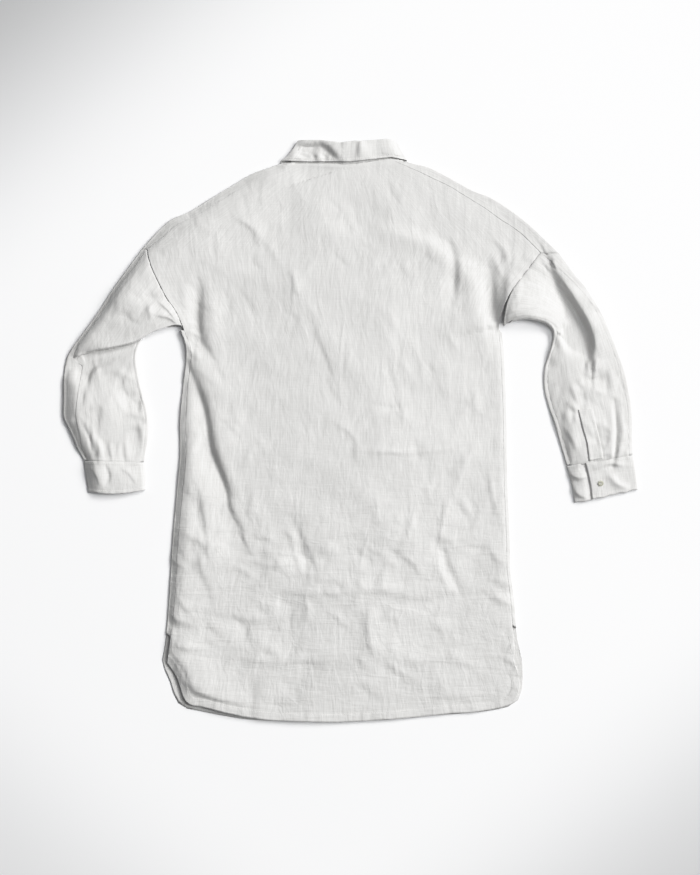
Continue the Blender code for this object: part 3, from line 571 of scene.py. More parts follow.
def weave_group():
    """Plain-weave linen: thick and thin threads both ways, as a tone and a height."""
    group = bpy.data.node_groups.new("linen_weave", "ShaderNodeTree")
    group.interface.new_socket("Vector", in_out="INPUT", socket_type="NodeSocketVector")
    group.interface.new_socket("Tone", in_out="OUTPUT", socket_type="NodeSocketFloat")
    group.interface.new_socket("Height", in_out="OUTPUT", socket_type="NodeSocketFloat")
    place = group.nodes.new("NodeGroupInput").outputs["Vector"]
    outside = group.nodes.new("NodeGroupOutput")
    warp = streaks(group, place, (780.0, 42.0, 1.0), 2.0)
    weft = streaks(group, place, (36.0, 820.0, 1.0), 2.0)
    slubs = streaks(group, place, (430.0, 21.0, 1.0), 1.0)
    threads = reckon(group, "ADD", reckon(group, "MULTIPLY", warp, 0.42),
                     reckon(group, "MULTIPLY", weft, 0.26))
    tone = reckon(group, "ADD", threads, reckon(group, "MULTIPLY", slubs, 0.32))
    group.links.new(tone, outside.inputs["Tone"])
    group.links.new(threads, outside.inputs["Height"])
    return group


def crumple_group():
    """The crinkles that washing leaves in linen, stronger towards the hem, as a height."""
    group = bpy.data.node_groups.new("washed_crumple", "ShaderNodeTree")
    group.interface.new_socket("Height", in_out="OUTPUT", socket_type="NodeSocketFloat")
    outside = group.nodes.new("NodeGroupOutput")
    place = group.nodes.new("ShaderNodeTexCoord").outputs["Object"]

    def crinkle(scale, turn_deg, distortion, shift):
        cloud = streaks(group, place, scale, 3.0, turn_deg, shift, 0.55, distortion)
        off_middle = reckon(group, "ABSOLUTE", reckon(group, "SUBTRACT", cloud, 0.5))
        return reckon(group, "SUBTRACT", 1.0, reckon(group, "MULTIPLY", off_middle, 2.6))

    split = group.nodes.new("ShaderNodeSeparateXYZ")
    group.links.new(place, split.inputs[0])
    low_down = group.nodes.new("ShaderNodeMapRange")
    low_down.interpolation_type = "SMOOTHSTEP"
    low_down.inputs["From Min"].default_value = 0.12
    low_down.inputs["From Max"].default_value = -0.30
    group.links.new(split.outputs["Y"], low_down.inputs["Value"])
    downward = crinkle((34.0, 11.0, 20.0), 12.0, 0.3, 3.1)
    crosswise = crinkle((10.0, 46.0, 20.0), 6.0, 0.3, 7.7)
    slanted = crinkle((44.0, 18.0, 30.0), -38.0, 0.4, 1.9)
    lower = reckon(group, "MULTIPLY_ADD", crosswise, 0.55, reckon(group, "MULTIPLY", slanted, 0.45))
    upper = reckon(group, "MULTIPLY_ADD", downward, 0.45, reckon(group, "MULTIPLY", slanted, 0.2))
    blend = group.nodes.new("ShaderNodeMix")
    blend.data_type = "FLOAT"
    group.links.new(low_down.outputs[0], blend.inputs[0])
    group.links.new(upper, blend.inputs[2])
    group.links.new(lower, blend.inputs[3])
    group.links.new(blend.outputs[0], outside.inputs["Height"])
    return group


def linen_material(name, light, shade):
    """Washed linen: two close tones of off-white, mixed by the weave, with its threads and the
    crinkles of washing as relief."""
    material = bpy.data.materials.new(name)
    material.use_nodes = True
    nodes, links = material.node_tree.nodes, material.node_tree.links
    shader = nodes["Principled BSDF"]
    shader.inputs["Roughness"].default_value = 0.88
    shader.inputs["Specular IOR Level"].default_value = 0.25
    shader.inputs["Sheen Weight"].default_value = 0.12
    shader.inputs["Sheen Roughness"].default_value = 0.5
    uv = nodes.new("ShaderNodeUVMap")
    uv.uv_map = "cloth"
    weave = nodes.new("ShaderNodeGroup")
    weave.node_tree = bpy.data.node_groups.get("linen_weave") or weave_group()
    links.new(uv.outputs["UV"], weave.inputs["Vector"])
    tones = nodes.new("ShaderNodeValToRGB")
    tones.color_ramp.elements[0].position = 0.33
    tones.color_ramp.elements[0].color = (*shade, 1.0)
    tones.color_ramp.elements[1].position = 0.67
    tones.color_ramp.elements[1].color = (*light, 1.0)
    links.new(weave.outputs["Tone"], tones.inputs["Fac"])
    links.new(tones.outputs["Color"], shader.inputs["Base Color"])
    crumple = nodes.new("ShaderNodeGroup")
    crumple.node_tree = bpy.data.node_groups.get("washed_crumple") or crumple_group()
    crinkled = nodes.new("ShaderNodeBump")
    crinkled.inputs["Strength"].default_value = 1.0
    crinkled.inputs["Distance"].default_value = 0.0020
    links.new(crumple.outputs["Height"], crinkled.inputs["Height"])
    bump = nodes.new("ShaderNodeBump")
    bump.inputs["Strength"].default_value = 0.5
    bump.inputs["Distance"].default_value = 0.0004
    links.new(weave.outputs["Height"], bump.inputs["Height"])
    links.new(crinkled.outputs["Normal"], bump.inputs["Normal"])
    links.new(bump.outputs["Normal"], shader.inputs["Normal"])
    return material


LINEN_LIGHT, LINEN_SHADE = (0.765, 0.763, 0.755), (0.625, 0.622, 0.612)
LINEN = linen_material("linen", LINEN_LIGHT, LINEN_SHADE)


def linen_piece(name, shape, material):
    """Turns a mesh of linen or of linen thread into a piece that rides on the shirt."""
    bmesh.ops.recalc_face_normals(shape, faces=shape.faces)
    mesh = bpy.data.meshes.new(name)
    shape.to_mesh(mesh)
    shape.free()
    if "cloth" not in mesh.uv_layers:
        mesh.uv_layers.new(name="cloth")
    mesh.materials.append(material)
    mesh.shade_smooth()
    piece = bpy.data.objects.new(name, mesh)
    scene.collection.objects.link(piece)
    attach(piece, "root")
    return piece


def cloth(name, node, patches, wall=WALL):
    """One panel of linen: its patches sewn along the points they share, and given a wall."""
    shape = bmesh.new()
    uv_layer = shape.loops.layers.uv.new("cloth")
    for patch in patches:
        rows, columns = patch.shape[:2]
        across = np.concatenate([[0.0], np.cumsum(np.linalg.norm(
            np.diff(patch, axis=1), axis=2).mean(axis=0))]) * MM
        along = np.concatenate([[0.0], np.cumsum(np.linalg.norm(
            np.diff(patch, axis=0), axis=2).mean(axis=1))]) * MM
        verts = [[shape.verts.new(point * MM) for point in row] for row in patch]
        for i in range(rows - 1):
            for j in range(columns - 1):
                corners = ((i, j), (i + 1, j), (i + 1, j + 1), (i, j + 1))
                face = shape.faces.new([verts[row][column] for row, column in corners])
                for loop, (row, column) in zip(face.loops, corners):
                    loop[uv_layer].uv = (across[column], -along[row])
    bmesh.ops.remove_doubles(shape, verts=shape.verts, dist=1e-5)
    piece = linen_piece(name, shape, LINEN)
    thick = piece.modifiers.new("wall", "SOLIDIFY")
    thick.thickness = wall * MM
    thick.offset = 0.0
    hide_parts(node)


# Rows of points down the back, and columns across it.
SHOULDER_ROWS, ARMHOLE_ROWS, SIDE_ROWS, TAIL_ROWS = 66, 40, 176, 50
BACK_COLUMNS, BACK_WIDTH = 162, 560.0
HEM_DEEP = 14.0
HEM_ROWS = 6
HEM_LENGTH = 690.0
back_left = np.vstack([spaced(SHOULDER_SEAM_LEFT, SHOULDER_ROWS),
                       spaced(ARMHOLE_LEFT, ARMHOLE_ROWS + 1)[1:],
                       spaced(SIDE_SEAM_LEFT, SIDE_ROWS)])
back_right = np.vstack([spaced(SHOULDER_SEAM_RIGHT, SHOULDER_ROWS),
                        spaced(ARMHOLE_RIGHT, ARMHOLE_ROWS + 1)[1:],
                        spaced(SIDE_SEAM_RIGHT, SIDE_ROWS)])
back_columns = edge_shares(BACK_COLUMNS, BACK_WIDTH)
back_grid = patch_between(back_left, back_right, back_columns, low)
back_grid = bent_to_hem(back_grid, BACK_HEM, back_columns, TAIL_ROWS)
# The last rows are halved, so that the folded hem has points enough.
last = len(back_grid) - 1
hem_start = last + 1 - HEM_ROWS
finer = np.concatenate([np.arange(0, hem_start), np.arange(hem_start, last + 0.1, 0.5)])
row_above = finer.astype(int).clip(0, last - 1)
part = (finer - row_above)[:, None, None]
back_grid = back_grid[row_above] * (1 - part) + back_grid[row_above + 1] * part
# The hem is a flat band, folded under and sewn, with a groove along its stitching.
from_hem, along_hem = nearest(back_grid[..., 0], back_grid[..., 1], spaced(BACK_HEM, 90))[:2]
at_bottom = smooth_step((-425.0 - back_grid[..., 1]) / 25.0)
flat_band = 0.85 * np.clip(HEM_DEEP - from_hem, 0.0, HEM_DEEP) * at_bottom
back_grid[..., 2] = high(back_grid[..., 0], back_grid[..., 1] + flat_band)
back_grid[..., 2] += (0.5 * (1 - smooth_step((from_hem - HEM_DEEP) / 2.4))
                      - 0.9 * np.exp(-(((from_hem - HEM_DEEP - 0.5) / 1.8) ** 2))
                      + 0.4 * pucker(along_hem * HEM_LENGTH, 33) * np.exp(-np.abs(from_hem - 8.0) / 7.0))
seam_edges(back_grid, (31, 0.12), (32, -0.22))
# Rows above the neck seam run up under the collar's fall, as far as this edge of it.
FALL_EDGE_X = (-106, -84, -34, -1, 32, 65, 86)
FALL_EDGE_Y = (439.5, 440.0, 439.6, 439.0, 443.6, 448.4, 445.4)
neck_rows = []
for reach in (1.0, 0.6, 0.25):
    row = back_grid[0].copy()
    row[:, 1] += reach * (np.interp(row[:, 0], FALL_EDGE_X, FALL_EDGE_Y) - row[:, 1])
    row[:, 2] -= 0.5 * reach
    neck_rows.append(row)
back_grid = np.concatenate([np.stack(neck_rows), back_grid])
cloth("back_panel", "back", [back_grid])

# The fronts.
# Two panels of the same linen and with the same hem. They lie under the back; their edges roll up
# round the shoulders and the sides and end in a lip on top, widest on the right shoulder, where
# the back is sewn on.
BAND_HALF = 16.0
SHOULDER_ROLL = 3.5
SIDE_ROLL = 1.6
ROLL_STEPS = 10
SHOULDER_EDGE_RIGHT = [(105, 440), (132, 433), (164, 417), (202, 396), (233, 384), (263, 365),
                       (296, 339), (321, 316), (344, 293)]
FRONT_HEM_LEFT = [(-311, -379), (-307, -395), (-299, -413), (-294, -430), (-287, -446),
                  (-277, -457), (-252, -463), (-206, -472), (-165, -478), (-100, -480.5),
                  (-28.5, -480.5)]
FRONT_HEM_RIGHT = [(279, -368), (283, -380), (284.5, -398), (284.5, -418), (281, -438), (270, -452),
                   (247, -460), (205, -466), (150, -470), (70, -475), (4.5, -478)]


def under_edge(edges, seams, roll):
    """Where the flat under layer ends and the roll begins."""
    inward = seams - edges
    reach = np.linalg.norm(inward, axis=1, keepdims=True)
    return edges + inward / reach * np.minimum(roll, 0.5 * reach)


def rolled_strip(edges, seams, roll, tops, seed, step=-0.35, over=high):
    """The cloth that rolls round an edge and runs on top as far as the seam."""
    inward = seams - edges
    reach = np.linalg.norm(inward, axis=1, keepdims=True)
    inward = inward / reach
    roll = np.minimum(roll, 0.5 * reach)
    start = edges + inward * roll
    bottom = low(start[:, 0], start[:, 1])
    top = over(start[:, 0], start[:, 1])
    columns = []
    for angle in np.linspace(0.0, math.pi, ROLL_STEPS):
        plan = start - inward * roll * math.sin(angle)
        rise = (1 - math.cos(angle)) / 2
        columns.append(np.column_stack([plan, bottom + (top - bottom) * rise]))
    for share in np.linspace(0.0, 1.0, tops + 1)[1:-1]:
        plan = edges + inward * (roll + (reach - roll) * share)
        columns.append(np.column_stack([plan, over(plan[:, 0], plan[:, 1])]))
    # Past the seam the strip drops and runs on under the panel that is sewn to it.
    for beyond, drop in ((-1.0, 0.0), (-0.1, 0.0), (0.3, 0.6), (3.0, 0.7)):
        plan = seams + inward * np.maximum(beyond, -0.1 * reach)
        height = np.maximum(over(plan[:, 0], plan[:, 1]) - drop, bottom + 0.5)
        columns.append(np.column_stack([plan, height]))
    strip = np.stack(columns, axis=1)
    line = strip[:, -3, :2]
    away = np.linalg.norm(strip[:, ROLL_STEPS:, :2] - line[:, None, :], axis=2)
    ripple = pucker(lengths_along(line), seed)[:, None] * np.exp(-away / 9.0)
    strip[:, ROLL_STEPS:, 2] += step * np.exp(-away / 6.0) + 0.12 * ripple
    return strip


def tuck_row(grid, end, drop=0.8, reach=3.2):
    """Adds rows beyond one end of a grid that lie a little lower, under the next piece."""
    edge, inside = (grid[0], grid[1]) if end == "first" else (grid[-1], grid[-2])
    onward = edge[:, :2] - inside[:, :2]
    onward = onward / np.linalg.norm(onward, axis=1, keepdims=True)
    near, far = edge.copy(), edge.copy()
    near[:, :2] += onward * 0.4
    near[:, 2] -= 0.7 * drop
    far[:, :2] += onward * reach
    far[:, 2] -= drop
    if end == "first":
        return np.concatenate([far[None], near[None], grid])
    return np.concatenate([grid, near[None], far[None]])


def make_front(name, node, side, shoulder_edge, shoulder_seam, armhole, side_edge, side_seam, hem,
               seed):
    """A front: the flat panel, with the strips that roll over its shoulder and its side."""
    shoulder = spaced(shoulder_edge, SHOULDER_ROWS)
    shoulder_sewn = spaced(shoulder_seam, SHOULDER_ROWS)
    down_side = spaced(side_edge, SIDE_ROWS)
    side_sewn = spaced(side_seam, SIDE_ROWS)
    down_armhole = spaced(armhole, ARMHOLE_ROWS + 1)[1:]
    outer = np.vstack([under_edge(shoulder, shoulder_sewn, SHOULDER_ROLL), down_armhole,
                       under_edge(down_side, side_sewn, SIDE_ROLL)])
    centre_x = CENTRE_FRONT_X + side * (BAND_HALF + 0.1)
    centre_y = np.concatenate([np.linspace(402.0, 296.0, SHOULDER_ROWS),
                               np.linspace(290.0, 168.0, ARMHOLE_ROWS), down_side[:, 1]])
    inner = np.column_stack([np.full(len(outer), centre_x), centre_y])
    columns = np.concatenate([[0.0, 0.012, 0.03], np.linspace(0.06, 1.0, 18)])
    rows = patch_between(outer, inner, columns, low)
    scoop = 14.0 * np.sin(math.pi * columns)
    rows[..., 1] -= scoop * np.exp(-np.arange(len(outer))[:, None] / 15.0)
    rows = bent_to_hem(rows, hem, columns, TAIL_ROWS)
    rows[..., 2] = low(rows[..., 0], rows[..., 1])
    step = -0.35 if side < 0 else 0.30
    over_shoulder = rolled_strip(shoulder, shoulder_sewn, SHOULDER_ROLL, 10, seed, step)
    over_side = rolled_strip(down_side, side_sewn, SIDE_ROLL, 5, seed, 0.4 * step)
    over_shoulder = tuck_row(over_shoulder, "last", drop=0.6, reach=4.0)
    over_shoulder = tuck_row(over_shoulder, "first", drop=0.2, reach=14.0)
    over_shoulder[..., 2] = np.maximum(over_shoulder[..., 2], REST)
    above_hem = SIDE_ROWS - 14
    cloth(name, node, [rows, over_shoulder, over_side[:above_hem]])


make_front("front_left_panel", "front_left", -1, SHOULDER_EDGE_LEFT, SHOULDER_SEAM_LEFT,
           ARMHOLE_LEFT, SIDE_EDGE_LEFT, SIDE_SEAM_LEFT, FRONT_HEM_LEFT, 31)
make_front("front_right_panel", "front_right", 1, SHOULDER_EDGE_RIGHT, SHOULDER_SEAM_RIGHT,
           ARMHOLE_RIGHT, SIDE_EDGE_RIGHT, SIDE_SEAM_RIGHT, FRONT_HEM_RIGHT, 32)

# The right sleeve.
# Linen, cut in two halves that are sewn along an overarm seam and the underarm. The under half
# rolls up round both edges, and the over half stands up round the deep fold at the elbow.
SLEEVE_EDGE_RIGHT = [(344.8, 291.9), (355, 278), (370, 257), (387, 237), (401, 215), (416, 189),
                     (429, 159), (439, 134), (446, 116), (453, 95), (459, 67), (464, 37), (465, 9),
                     (465, -16), (466, -40)]
SLEEVE_SEAM_RIGHT = [(315.0, 291.7), (334, 275), (354, 256), (374, 236), (392, 214), (409, 187),
                     (422, 157), (432, 132), (439, 114), (446, 93), (452, 66), (457, 37), (458, 9),
                     (458, -16), (459, -40)]


def follow(grid, row, curve, strength):
    """Bends a straight row of the grid into the shape of a curve between the same ends."""
    shares = lengths_along(grid[row, :, :2])
    shares = shares / shares[-1]
    fine = spaced(curve, 80)
    even = np.linspace(0.0, 1.0, 80)
    on_curve = np.stack([np.interp(shares, even, fine[:, axis]) for axis in (0, 1)], axis=1)
    chord = fine[0] * (1 - shares[:, None]) + fine[-1] * shares[:, None]
    grid[row, :, :2] += (on_curve - chord) * strength


def armhole_edge(grid, seed, step):
    """Puckers a sleeve's first rows along the armhole, and steps them up or down."""
    line = grid[0, :, :2]
    away = np.linalg.norm(grid[..., :2] - line[None], axis=2)
    grid[..., 2] += (step * np.exp(-away / 6.0)
                     + 0.35 * pucker(lengths_along(line), seed)[None, :] * np.exp(-away / 12.0))


SLEEVE_ROWS = 125
BENT_ROWS = 36           # rows that follow the armhole's curve, less and less
SLEEVE_ROLL = 3.5
UNDERARM_ROLL = 3.0
UNDERARM_INSET = 6.0
SLEEVE_COLUMNS, SLEEVE_WIDTH = 44, 120.0
UNDER_COLUMNS = 18
outer = spaced(SLEEVE_EDGE_RIGHT, SLEEVE_ROWS)
sewn = spaced(SLEEVE_SEAM_RIGHT, SLEEVE_ROWS)
inner = spaced(SLEEVE_INNER_RIGHT, SLEEVE_ROWS)
across = (outer - inner) / np.linalg.norm(outer - inner, axis=1, keepdims=True)
inner_sewn = inner + across * UNDERARM_INSET
over = patch_between(sewn, inner_sewn, edge_shares(SLEEVE_COLUMNS, SLEEVE_WIDTH), low)
under = patch_between(under_edge(outer, sewn, SLEEVE_ROLL),
                      under_edge(inner, inner_sewn, UNDERARM_ROLL),
                      np.linspace(0.0, 1.0, UNDER_COLUMNS), low)
for grid, clear in ((over, 0.15), (under, 0.8)):
    for row in range(BENT_ROWS):
        follow(grid, row, ARMHOLE_RIGHT, (1 - row / BENT_ROWS) ** 2)
    grid[0, 1:, 0] += clear
over[..., 2] = high(over[..., 0], over[..., 1])
under[..., 2] = low(under[..., 0], under[..., 1])
seam_edges(over, (42, 0.2), (41, -0.3))
armhole_edge(over, 32, 0.10)
over = tuck_row(tuck_row(over, "first", drop=0.2), "last", drop=0.35, reach=4.0)
outer_strip = rolled_strip(outer, sewn, SLEEVE_ROLL, 4, 41, 0.3)
inner_strip = rolled_strip(inner, inner_sewn, UNDERARM_ROLL, 3, 42)
cloth("sleeve_right_under_half", "sleeve_right_under", [under, outer_strip, inner_strip[5:]])
cloth("sleeve_right_over_half", "sleeve_right_over", [over])

# The left sleeve.
# Cut and sewn like the right one. It is folded over at the elbow, so the cloth of its upper part
# laps the lower one, runs back under the fold and comes out again as the lower part.
SLEEVE_SEAM_LEFT_UPPER = [(-336.8, 297.9), (-353, 274), (-370, 252), (-388, 228), (-406, 200),
                          (-422, 177), (-439, 153), (-452, 134), (-458, 121)]
SLEEVE_SEAM_LEFT_LOWER = [(-443, 107), (-446, 83), (-450, 50), (-452, 24), (-449, 6), (-445, -12),
                          (-442, -32), (-433, -49)]
SLEEVE_INNER_LEFT = [(-284, 171), (-310, 170), (-338, 164), (-349, 141), (-353, 116), (-349, 87),
                     (-343, 59), (-336, 34), (-333, 9), (-335, -16), (-341, -52)]
ELBOW_FOLD_LEFT = [(-458, 119), (-430, 129), (-389, 137), (-356, 146), (-323, 163), (-290, 175)]
PRESSED = REST + LAYER + 0.9    # middle of the upper layer where the fold presses it flat
LAP = 3.0                       # from one lap of the fold to the next


def below_fold(x, y):
    """Distance from the left elbow fold, above 0 on the side of the cuff."""
    fold = spaced(ELBOW_FOLD_LEFT, 40)
    line = np.interp(x, fold[:, 0], fold[:, 1])
    return (line - y) * 0.95


def tucked(x, y):
    """The lower part of the left sleeve: pressed flat under the fold, then as high as the rest."""
    free = smooth_step((below_fold(x, y) - 2.0) / 26.0)
    return PRESSED + (high(x, y) - PRESSED) * free


UPPER_ROWS, LOWER_ROWS = 62, 62
upper_sewn = spaced(SLEEVE_SEAM_LEFT_UPPER, UPPER_ROWS)
lower_sewn = spaced(SLEEVE_SEAM_LEFT_LOWER, LOWER_ROWS)
share = edge_shares(SLEEVE_COLUMNS, SLEEVE_WIDTH)
underarm = np.array([-280.0, 173.0])
fold_end = np.array(ELBOW_FOLD_LEFT[-1], float)
steps = np.linspace(0.0, 1.0, UPPER_ROWS)[:, None]
upper = patch_between(upper_sewn, underarm * (1 - steps) + fold_end * steps, share, low)
for row in range(UPPER_ROWS):
    run = row / (UPPER_ROWS - 1)
    follow(upper, row, ARMHOLE_LEFT, (1 - run) ** 2)
    follow(upper, row, ELBOW_FOLD_LEFT, run ** 2)
upper[0, 1:, 0] -= 0.15
layered = smooth_step(share / 0.06)
pinched = smooth_step((1.0 - share) / 0.14)
near_fold = smooth_step((70.0 + below_fold(upper[..., 0], upper[..., 1])) / 42.0)
upper[..., 2] = high(upper[..., 0], upper[..., 1])
lifted = np.maximum(upper[..., 2], PRESSED + 2 * LAP + 0.6)
upper[..., 2] += (lifted - upper[..., 2]) * near_fold * layered * pinched

# Rows round the fold: how far each lies beyond it where the cloth is flat and where it is
# folded, and how many laps it is above the lower part.
TURNS = [(1.0, 1.2, 2.0), (1.5, 1.9, 1.55), (2.2, 1.6, 1.2), (3.0, 0.0, 1.0), (3.6, -5.0, 0.97),
         (4.5, -12.0, 0.95), (5.2, -17.0, 0.93), (6.0, -20.0, 0.9), (6.5, -21.2, 0.7),
         (7.0, -21.5, 0.45), (7.5, -21.2, 0.2), (8.0, -20.0, 0.0), (8.8, -14.0, 0.0),
         (9.5, -8.0, 0.0)]
line = upper[-1]
down = np.array([-0.30, -0.954])
lower_inner = spaced(SLEEVE_INNER_LEFT[2:], LOWER_ROWS)
lower = patch_between(lower_sewn, lower_inner - [UNDERARM_INSET, 0.0], share, tucked)
drawn = np.interp(line[:, 0], [-345.0, -285.0], [0.0, -38.0])
onward = lower_sewn[6] - line[0, :2]
onward = onward / np.linalg.norm(onward)
fold_rows = []
for flat_step, folded, laps in TURNS:
    row = np.empty_like(line)
    row[:, :2] = (line[:, :2] + onward * (flat_step * (1 - layered))[:, None]
                  + down * (folded * layered)[:, None])
    row[:, 0] += drawn * (1.0 - min(laps, 1.0) * 0.5)
    deep = PRESSED + laps * LAP
    row[:, 2] = high(row[:, 0], row[:, 1]) * (1 - layered) + deep * layered
    fold_rows.append(row)
free = smooth_step((below_fold(lower[..., 0], lower[..., 1]) - 2.0) / 26.0)
lower[..., 2] += (high(lower[..., 0], lower[..., 1]) - lower[..., 2]) * (1 - layered) * (1 - free)
start_row = int(np.argmax(lower_sewn[:, 1] < fold_rows[-1][0, 1] - 1.0))
over = np.concatenate([upper, np.stack(fold_rows), lower[start_row:]], axis=0)
seam_edges(over, (43, 0.2), (44, -0.2))
armhole_edge(over, 31, -0.45)
over = tuck_row(tuck_row(over, "first"), "last", drop=0.35, reach=4.0)

outer = np.vstack([spaced(SLEEVE_EDGE_LEFT_UPPER, UPPER_ROWS),
                   spaced(SLEEVE_EDGE_LEFT_LOWER, LOWER_ROWS)[1:]])
sewn = np.vstack([upper_sewn, lower_sewn[1:]])
inner_lower = spaced(SLEEVE_INNER_LEFT[2:], LOWER_ROWS)[1:]
inner_sewn = inner_lower - [UNDERARM_INSET, 0.0]
under_in = np.vstack([spaced(SLEEVE_INNER_LEFT[:3], UPPER_ROWS),
                      under_edge(inner_lower, inner_sewn, UNDERARM_ROLL)])
under = patch_between(under_edge(outer, sewn, SLEEVE_ROLL), under_in,
                      np.linspace(0.0, 1.0, UNDER_COLUMNS), low)
for row in range(BENT_ROWS):
    follow(under, row, ARMHOLE_LEFT, (1 - row / BENT_ROWS) ** 2)
under[0, 1:, 0] -= 0.8
under[..., 2] = low(under[..., 0], under[..., 1])
outer_strip = rolled_strip(outer, sewn, SLEEVE_ROLL, 6, 43)
inner_strip = rolled_strip(inner_lower, inner_sewn, UNDERARM_ROLL, 3, 44, over=tucked)
cloth("sleeve_left_under_half", "sleeve_left_under", [under, outer_strip, inner_strip])
cloth("sleeve_left_over_half", "sleeve_left_over", [over])

# The cuffs and the bound slits above them.
# A cuff is a band of linen folded double and wound round the sleeve's end. The right one laps and
# is buttoned on the side that shows; the left one is buttoned underneath. A narrow strip of
# linen, sewn on flat, binds each sleeve's slit.
CUFF_ROWS = 34
CUFF_ROLL = 3.5
CUFF_FLATS = 26
SLIT_WALL = 0.8


def section(width, roll, start, end, opening, flats):
    """A flattened ring in section, as (distance from its left end, rise from 0 to 1, sink). It
    starts and ends at the opening, under the cuff or on top of it."""
    turn = np.linspace(0.0, math.pi, 9)
    left = [(roll - roll * math.sin(a), (1 - math.cos(a)) / 2, 0.0) for a in turn]
    right = [(width - roll + roll * math.sin(a), (1 - math.cos(a)) / 2, 0.0) for a in turn]
    if opening == "under":
        path = [(w, 0.0, 0.0) for w in np.linspace(start, roll, flats)[:-1]]
        path += left
        path += [(w, 1.0, 0.0) for w in np.linspace(roll, width - roll, 2 * flats)[1:-1]]
        path += right[::-1]
        path += [(w, 0.0, 0.0) for w in np.linspace(width - roll, end, flats)[1:]]
        return path
    path = [(w, 1.0, 0.0) for w in np.linspace(start, width - roll, flats)[:-1]]
    path += right[::-1]
    path += [(w, 0.0, 0.0) for w in np.linspace(width - roll, roll, 2 * flats)[1:-1]]
    path += left
    inner_end = np.linspace(roll, end, flats)[1:]
    path += [(w, 1.0, smooth_step((w - start + 12.0) / 9.0)) for w in inner_end]
    return path


def make_cuff(name, node, outer, inner, start, end, opening, bow=0.0, waver=0.0):
    """A cuff: a band wound round the sleeve's end, its ends meeting or lapped. Gives the points
    of its upper side."""
    left, right = (outer, inner) if outer[0][0] < inner[0][0] else (inner, outer)
    left, right = spaced(left, CUFF_ROWS), spaced(right, CUFF_ROWS)
    grid = []
    for index, (from_left, to_right) in enumerate(zip(left, right)):
        width = float(np.linalg.norm(to_right - from_left))
        along = (to_right - from_left) / width
        ring = section(width, CUFF_ROLL, start * width, end * width, opening, CUFF_FLATS)
        w, rise, sink = np.array(ring).T
        x = from_left[0] + along[0] * w
        y = from_left[1] + along[1] * w + bow * np.sin(math.pi * w / width) * index / (CUFF_ROWS - 1)
        y = y + waver * pucker(0.5 * w, 52) * smooth_step((index - 0.6 * CUFF_ROWS) / (0.4 * CUFF_ROWS))
        z = low(x, y) + (high(x, y) - low(x, y)) * rise - sink * LAYER
        grid.append(np.column_stack([x, y, z]))
    grid = np.array(grid)
    length = np.linalg.norm(left[-1] - left[0])
    depth = np.linspace(0.0, 1.0, CUFF_ROWS)[:, None] * length
    on_top = grid[..., 2] > low(grid[..., 0], grid[..., 1]) + 1.5
    # Both long edges are thicker, puckered by their stitching, and the upper one laps the sleeve.
    ridge = (0.5 * np.exp(-(((depth - 2.5) / 2.2) ** 2))
             + 0.6 * np.exp(-(((length - depth - 2.5) / 2.2) ** 2)))
    ripple = (0.35 * pucker(lengths_along(grid[0]), 51)[None, :]
              * (np.exp(-depth / 7.0) + np.exp(-(length - depth) / 6.0)))
    sewn_over = 0.20 * np.exp(-depth / 5.0)
    grid[..., 2] += np.where(on_top, ridge + ripple + sewn_over, 0.0)
    cloth(name, node, [grid])
    return grid[on_top]


cuff_right_top = make_cuff("cuff_right_band", "cuff_right", CUFF_OUTER_RIGHT, CUFF_INNER_RIGHT,
                           0.27, 0.40, "top", waver=1.6)
cuff_left_top = make_cuff("cuff_left_band", "cuff_left", CUFF_OUTER_LEFT, CUFF_INNER_LEFT,
                          0.86, 0.865, "under", bow=-5.0)


def make_sleeve_band(name, node, left, right, lift, over):
    """The strip that binds a sleeve's slit, with a low ridge along both edges."""
    shares = np.array([0.0, 0.05, 0.12, 0.2, 0.35, 0.5, 0.65, 0.8, 0.88, 0.95, 1.0])
    grid = patch_between(spaced(left, CUFF_ROWS), spaced(right, CUFF_ROWS), shares, over)
    edge = np.minimum(shares, 1 - shares) * 23.0
    grid[..., 2] += lift + 0.25 * np.exp(-(((edge - 2.0) / 1.3) ** 2)) - 0.25 * np.exp(-edge / 0.8)
    cloth(name, node, [grid], wall=SLIT_WALL)
    return grid


sleeve_band = make_sleeve_band("sleeve_placket_right_band", "sleeve_placket_right",
                               [(375, 34), (382, 4), (389, -20), (393, -50)],
                               [(398, 35), (405, 5), (411, -18), (416, -46)],
                               LAYER, high)
make_sleeve_band("sleeve_placket_left_band", "sleeve_placket_left",
                 [(-400, 36), (-398, -10), (-396, -47)], [(-378, 36), (-377, -10), (-376, -47)],
                 LAYER - 0.3, low)

# The collar.
# A stand of doubled linen runs round the neck under the turned-down fall, which is doubled too.
# Both are pressed flat, and their ends meet below at the centre front.
COLLAR_CREASES = [
    (-8.0, 5, 16, [(-98, 469), (-76, 466), (-50, 468)]),
    (-4.5, 5, 12, [(-52, 470), (-38, 460), (-24, 445)]),
    (1.5, 8, 5, [(-44, 476), (-28, 464), (-14, 446)]),
    (4.5, 16, 5, [(17, 478), (16, 462), (14, 447)]),
    (3.0, 40, 45, [(-10, 482), (-8, 462), (-8, 440)]),
    (-2.6, 3, 5, [(-86, 455), (-78, 452), (-66, 450)]),
    (2.2, 3, 3, [(-88, 450), (-80, 446), (-72, 444)]),
    (-2.4, 2.5, 4, [(-64, 456), (-60, 450), (-60, 444)]),
    (-2.4, 2.5, 4, [(-46, 454), (-42, 449), (-42, 444)]),
    (1.5, 3, 3, [(-54, 456), (-52, 450), (-51, 444)]),
    (-1.2, 3, 3, [(40, 450), (52, 453), (66, 452)]),
    (1.4, 12, 12, [(44, 474), (60, 466), (74, 456)]),
]
COLLAR_LOWER = [(-116, 445), (-84, 443), (-34, 443), (-1, 442), (32, 446), (65, 450), (93, 446)]
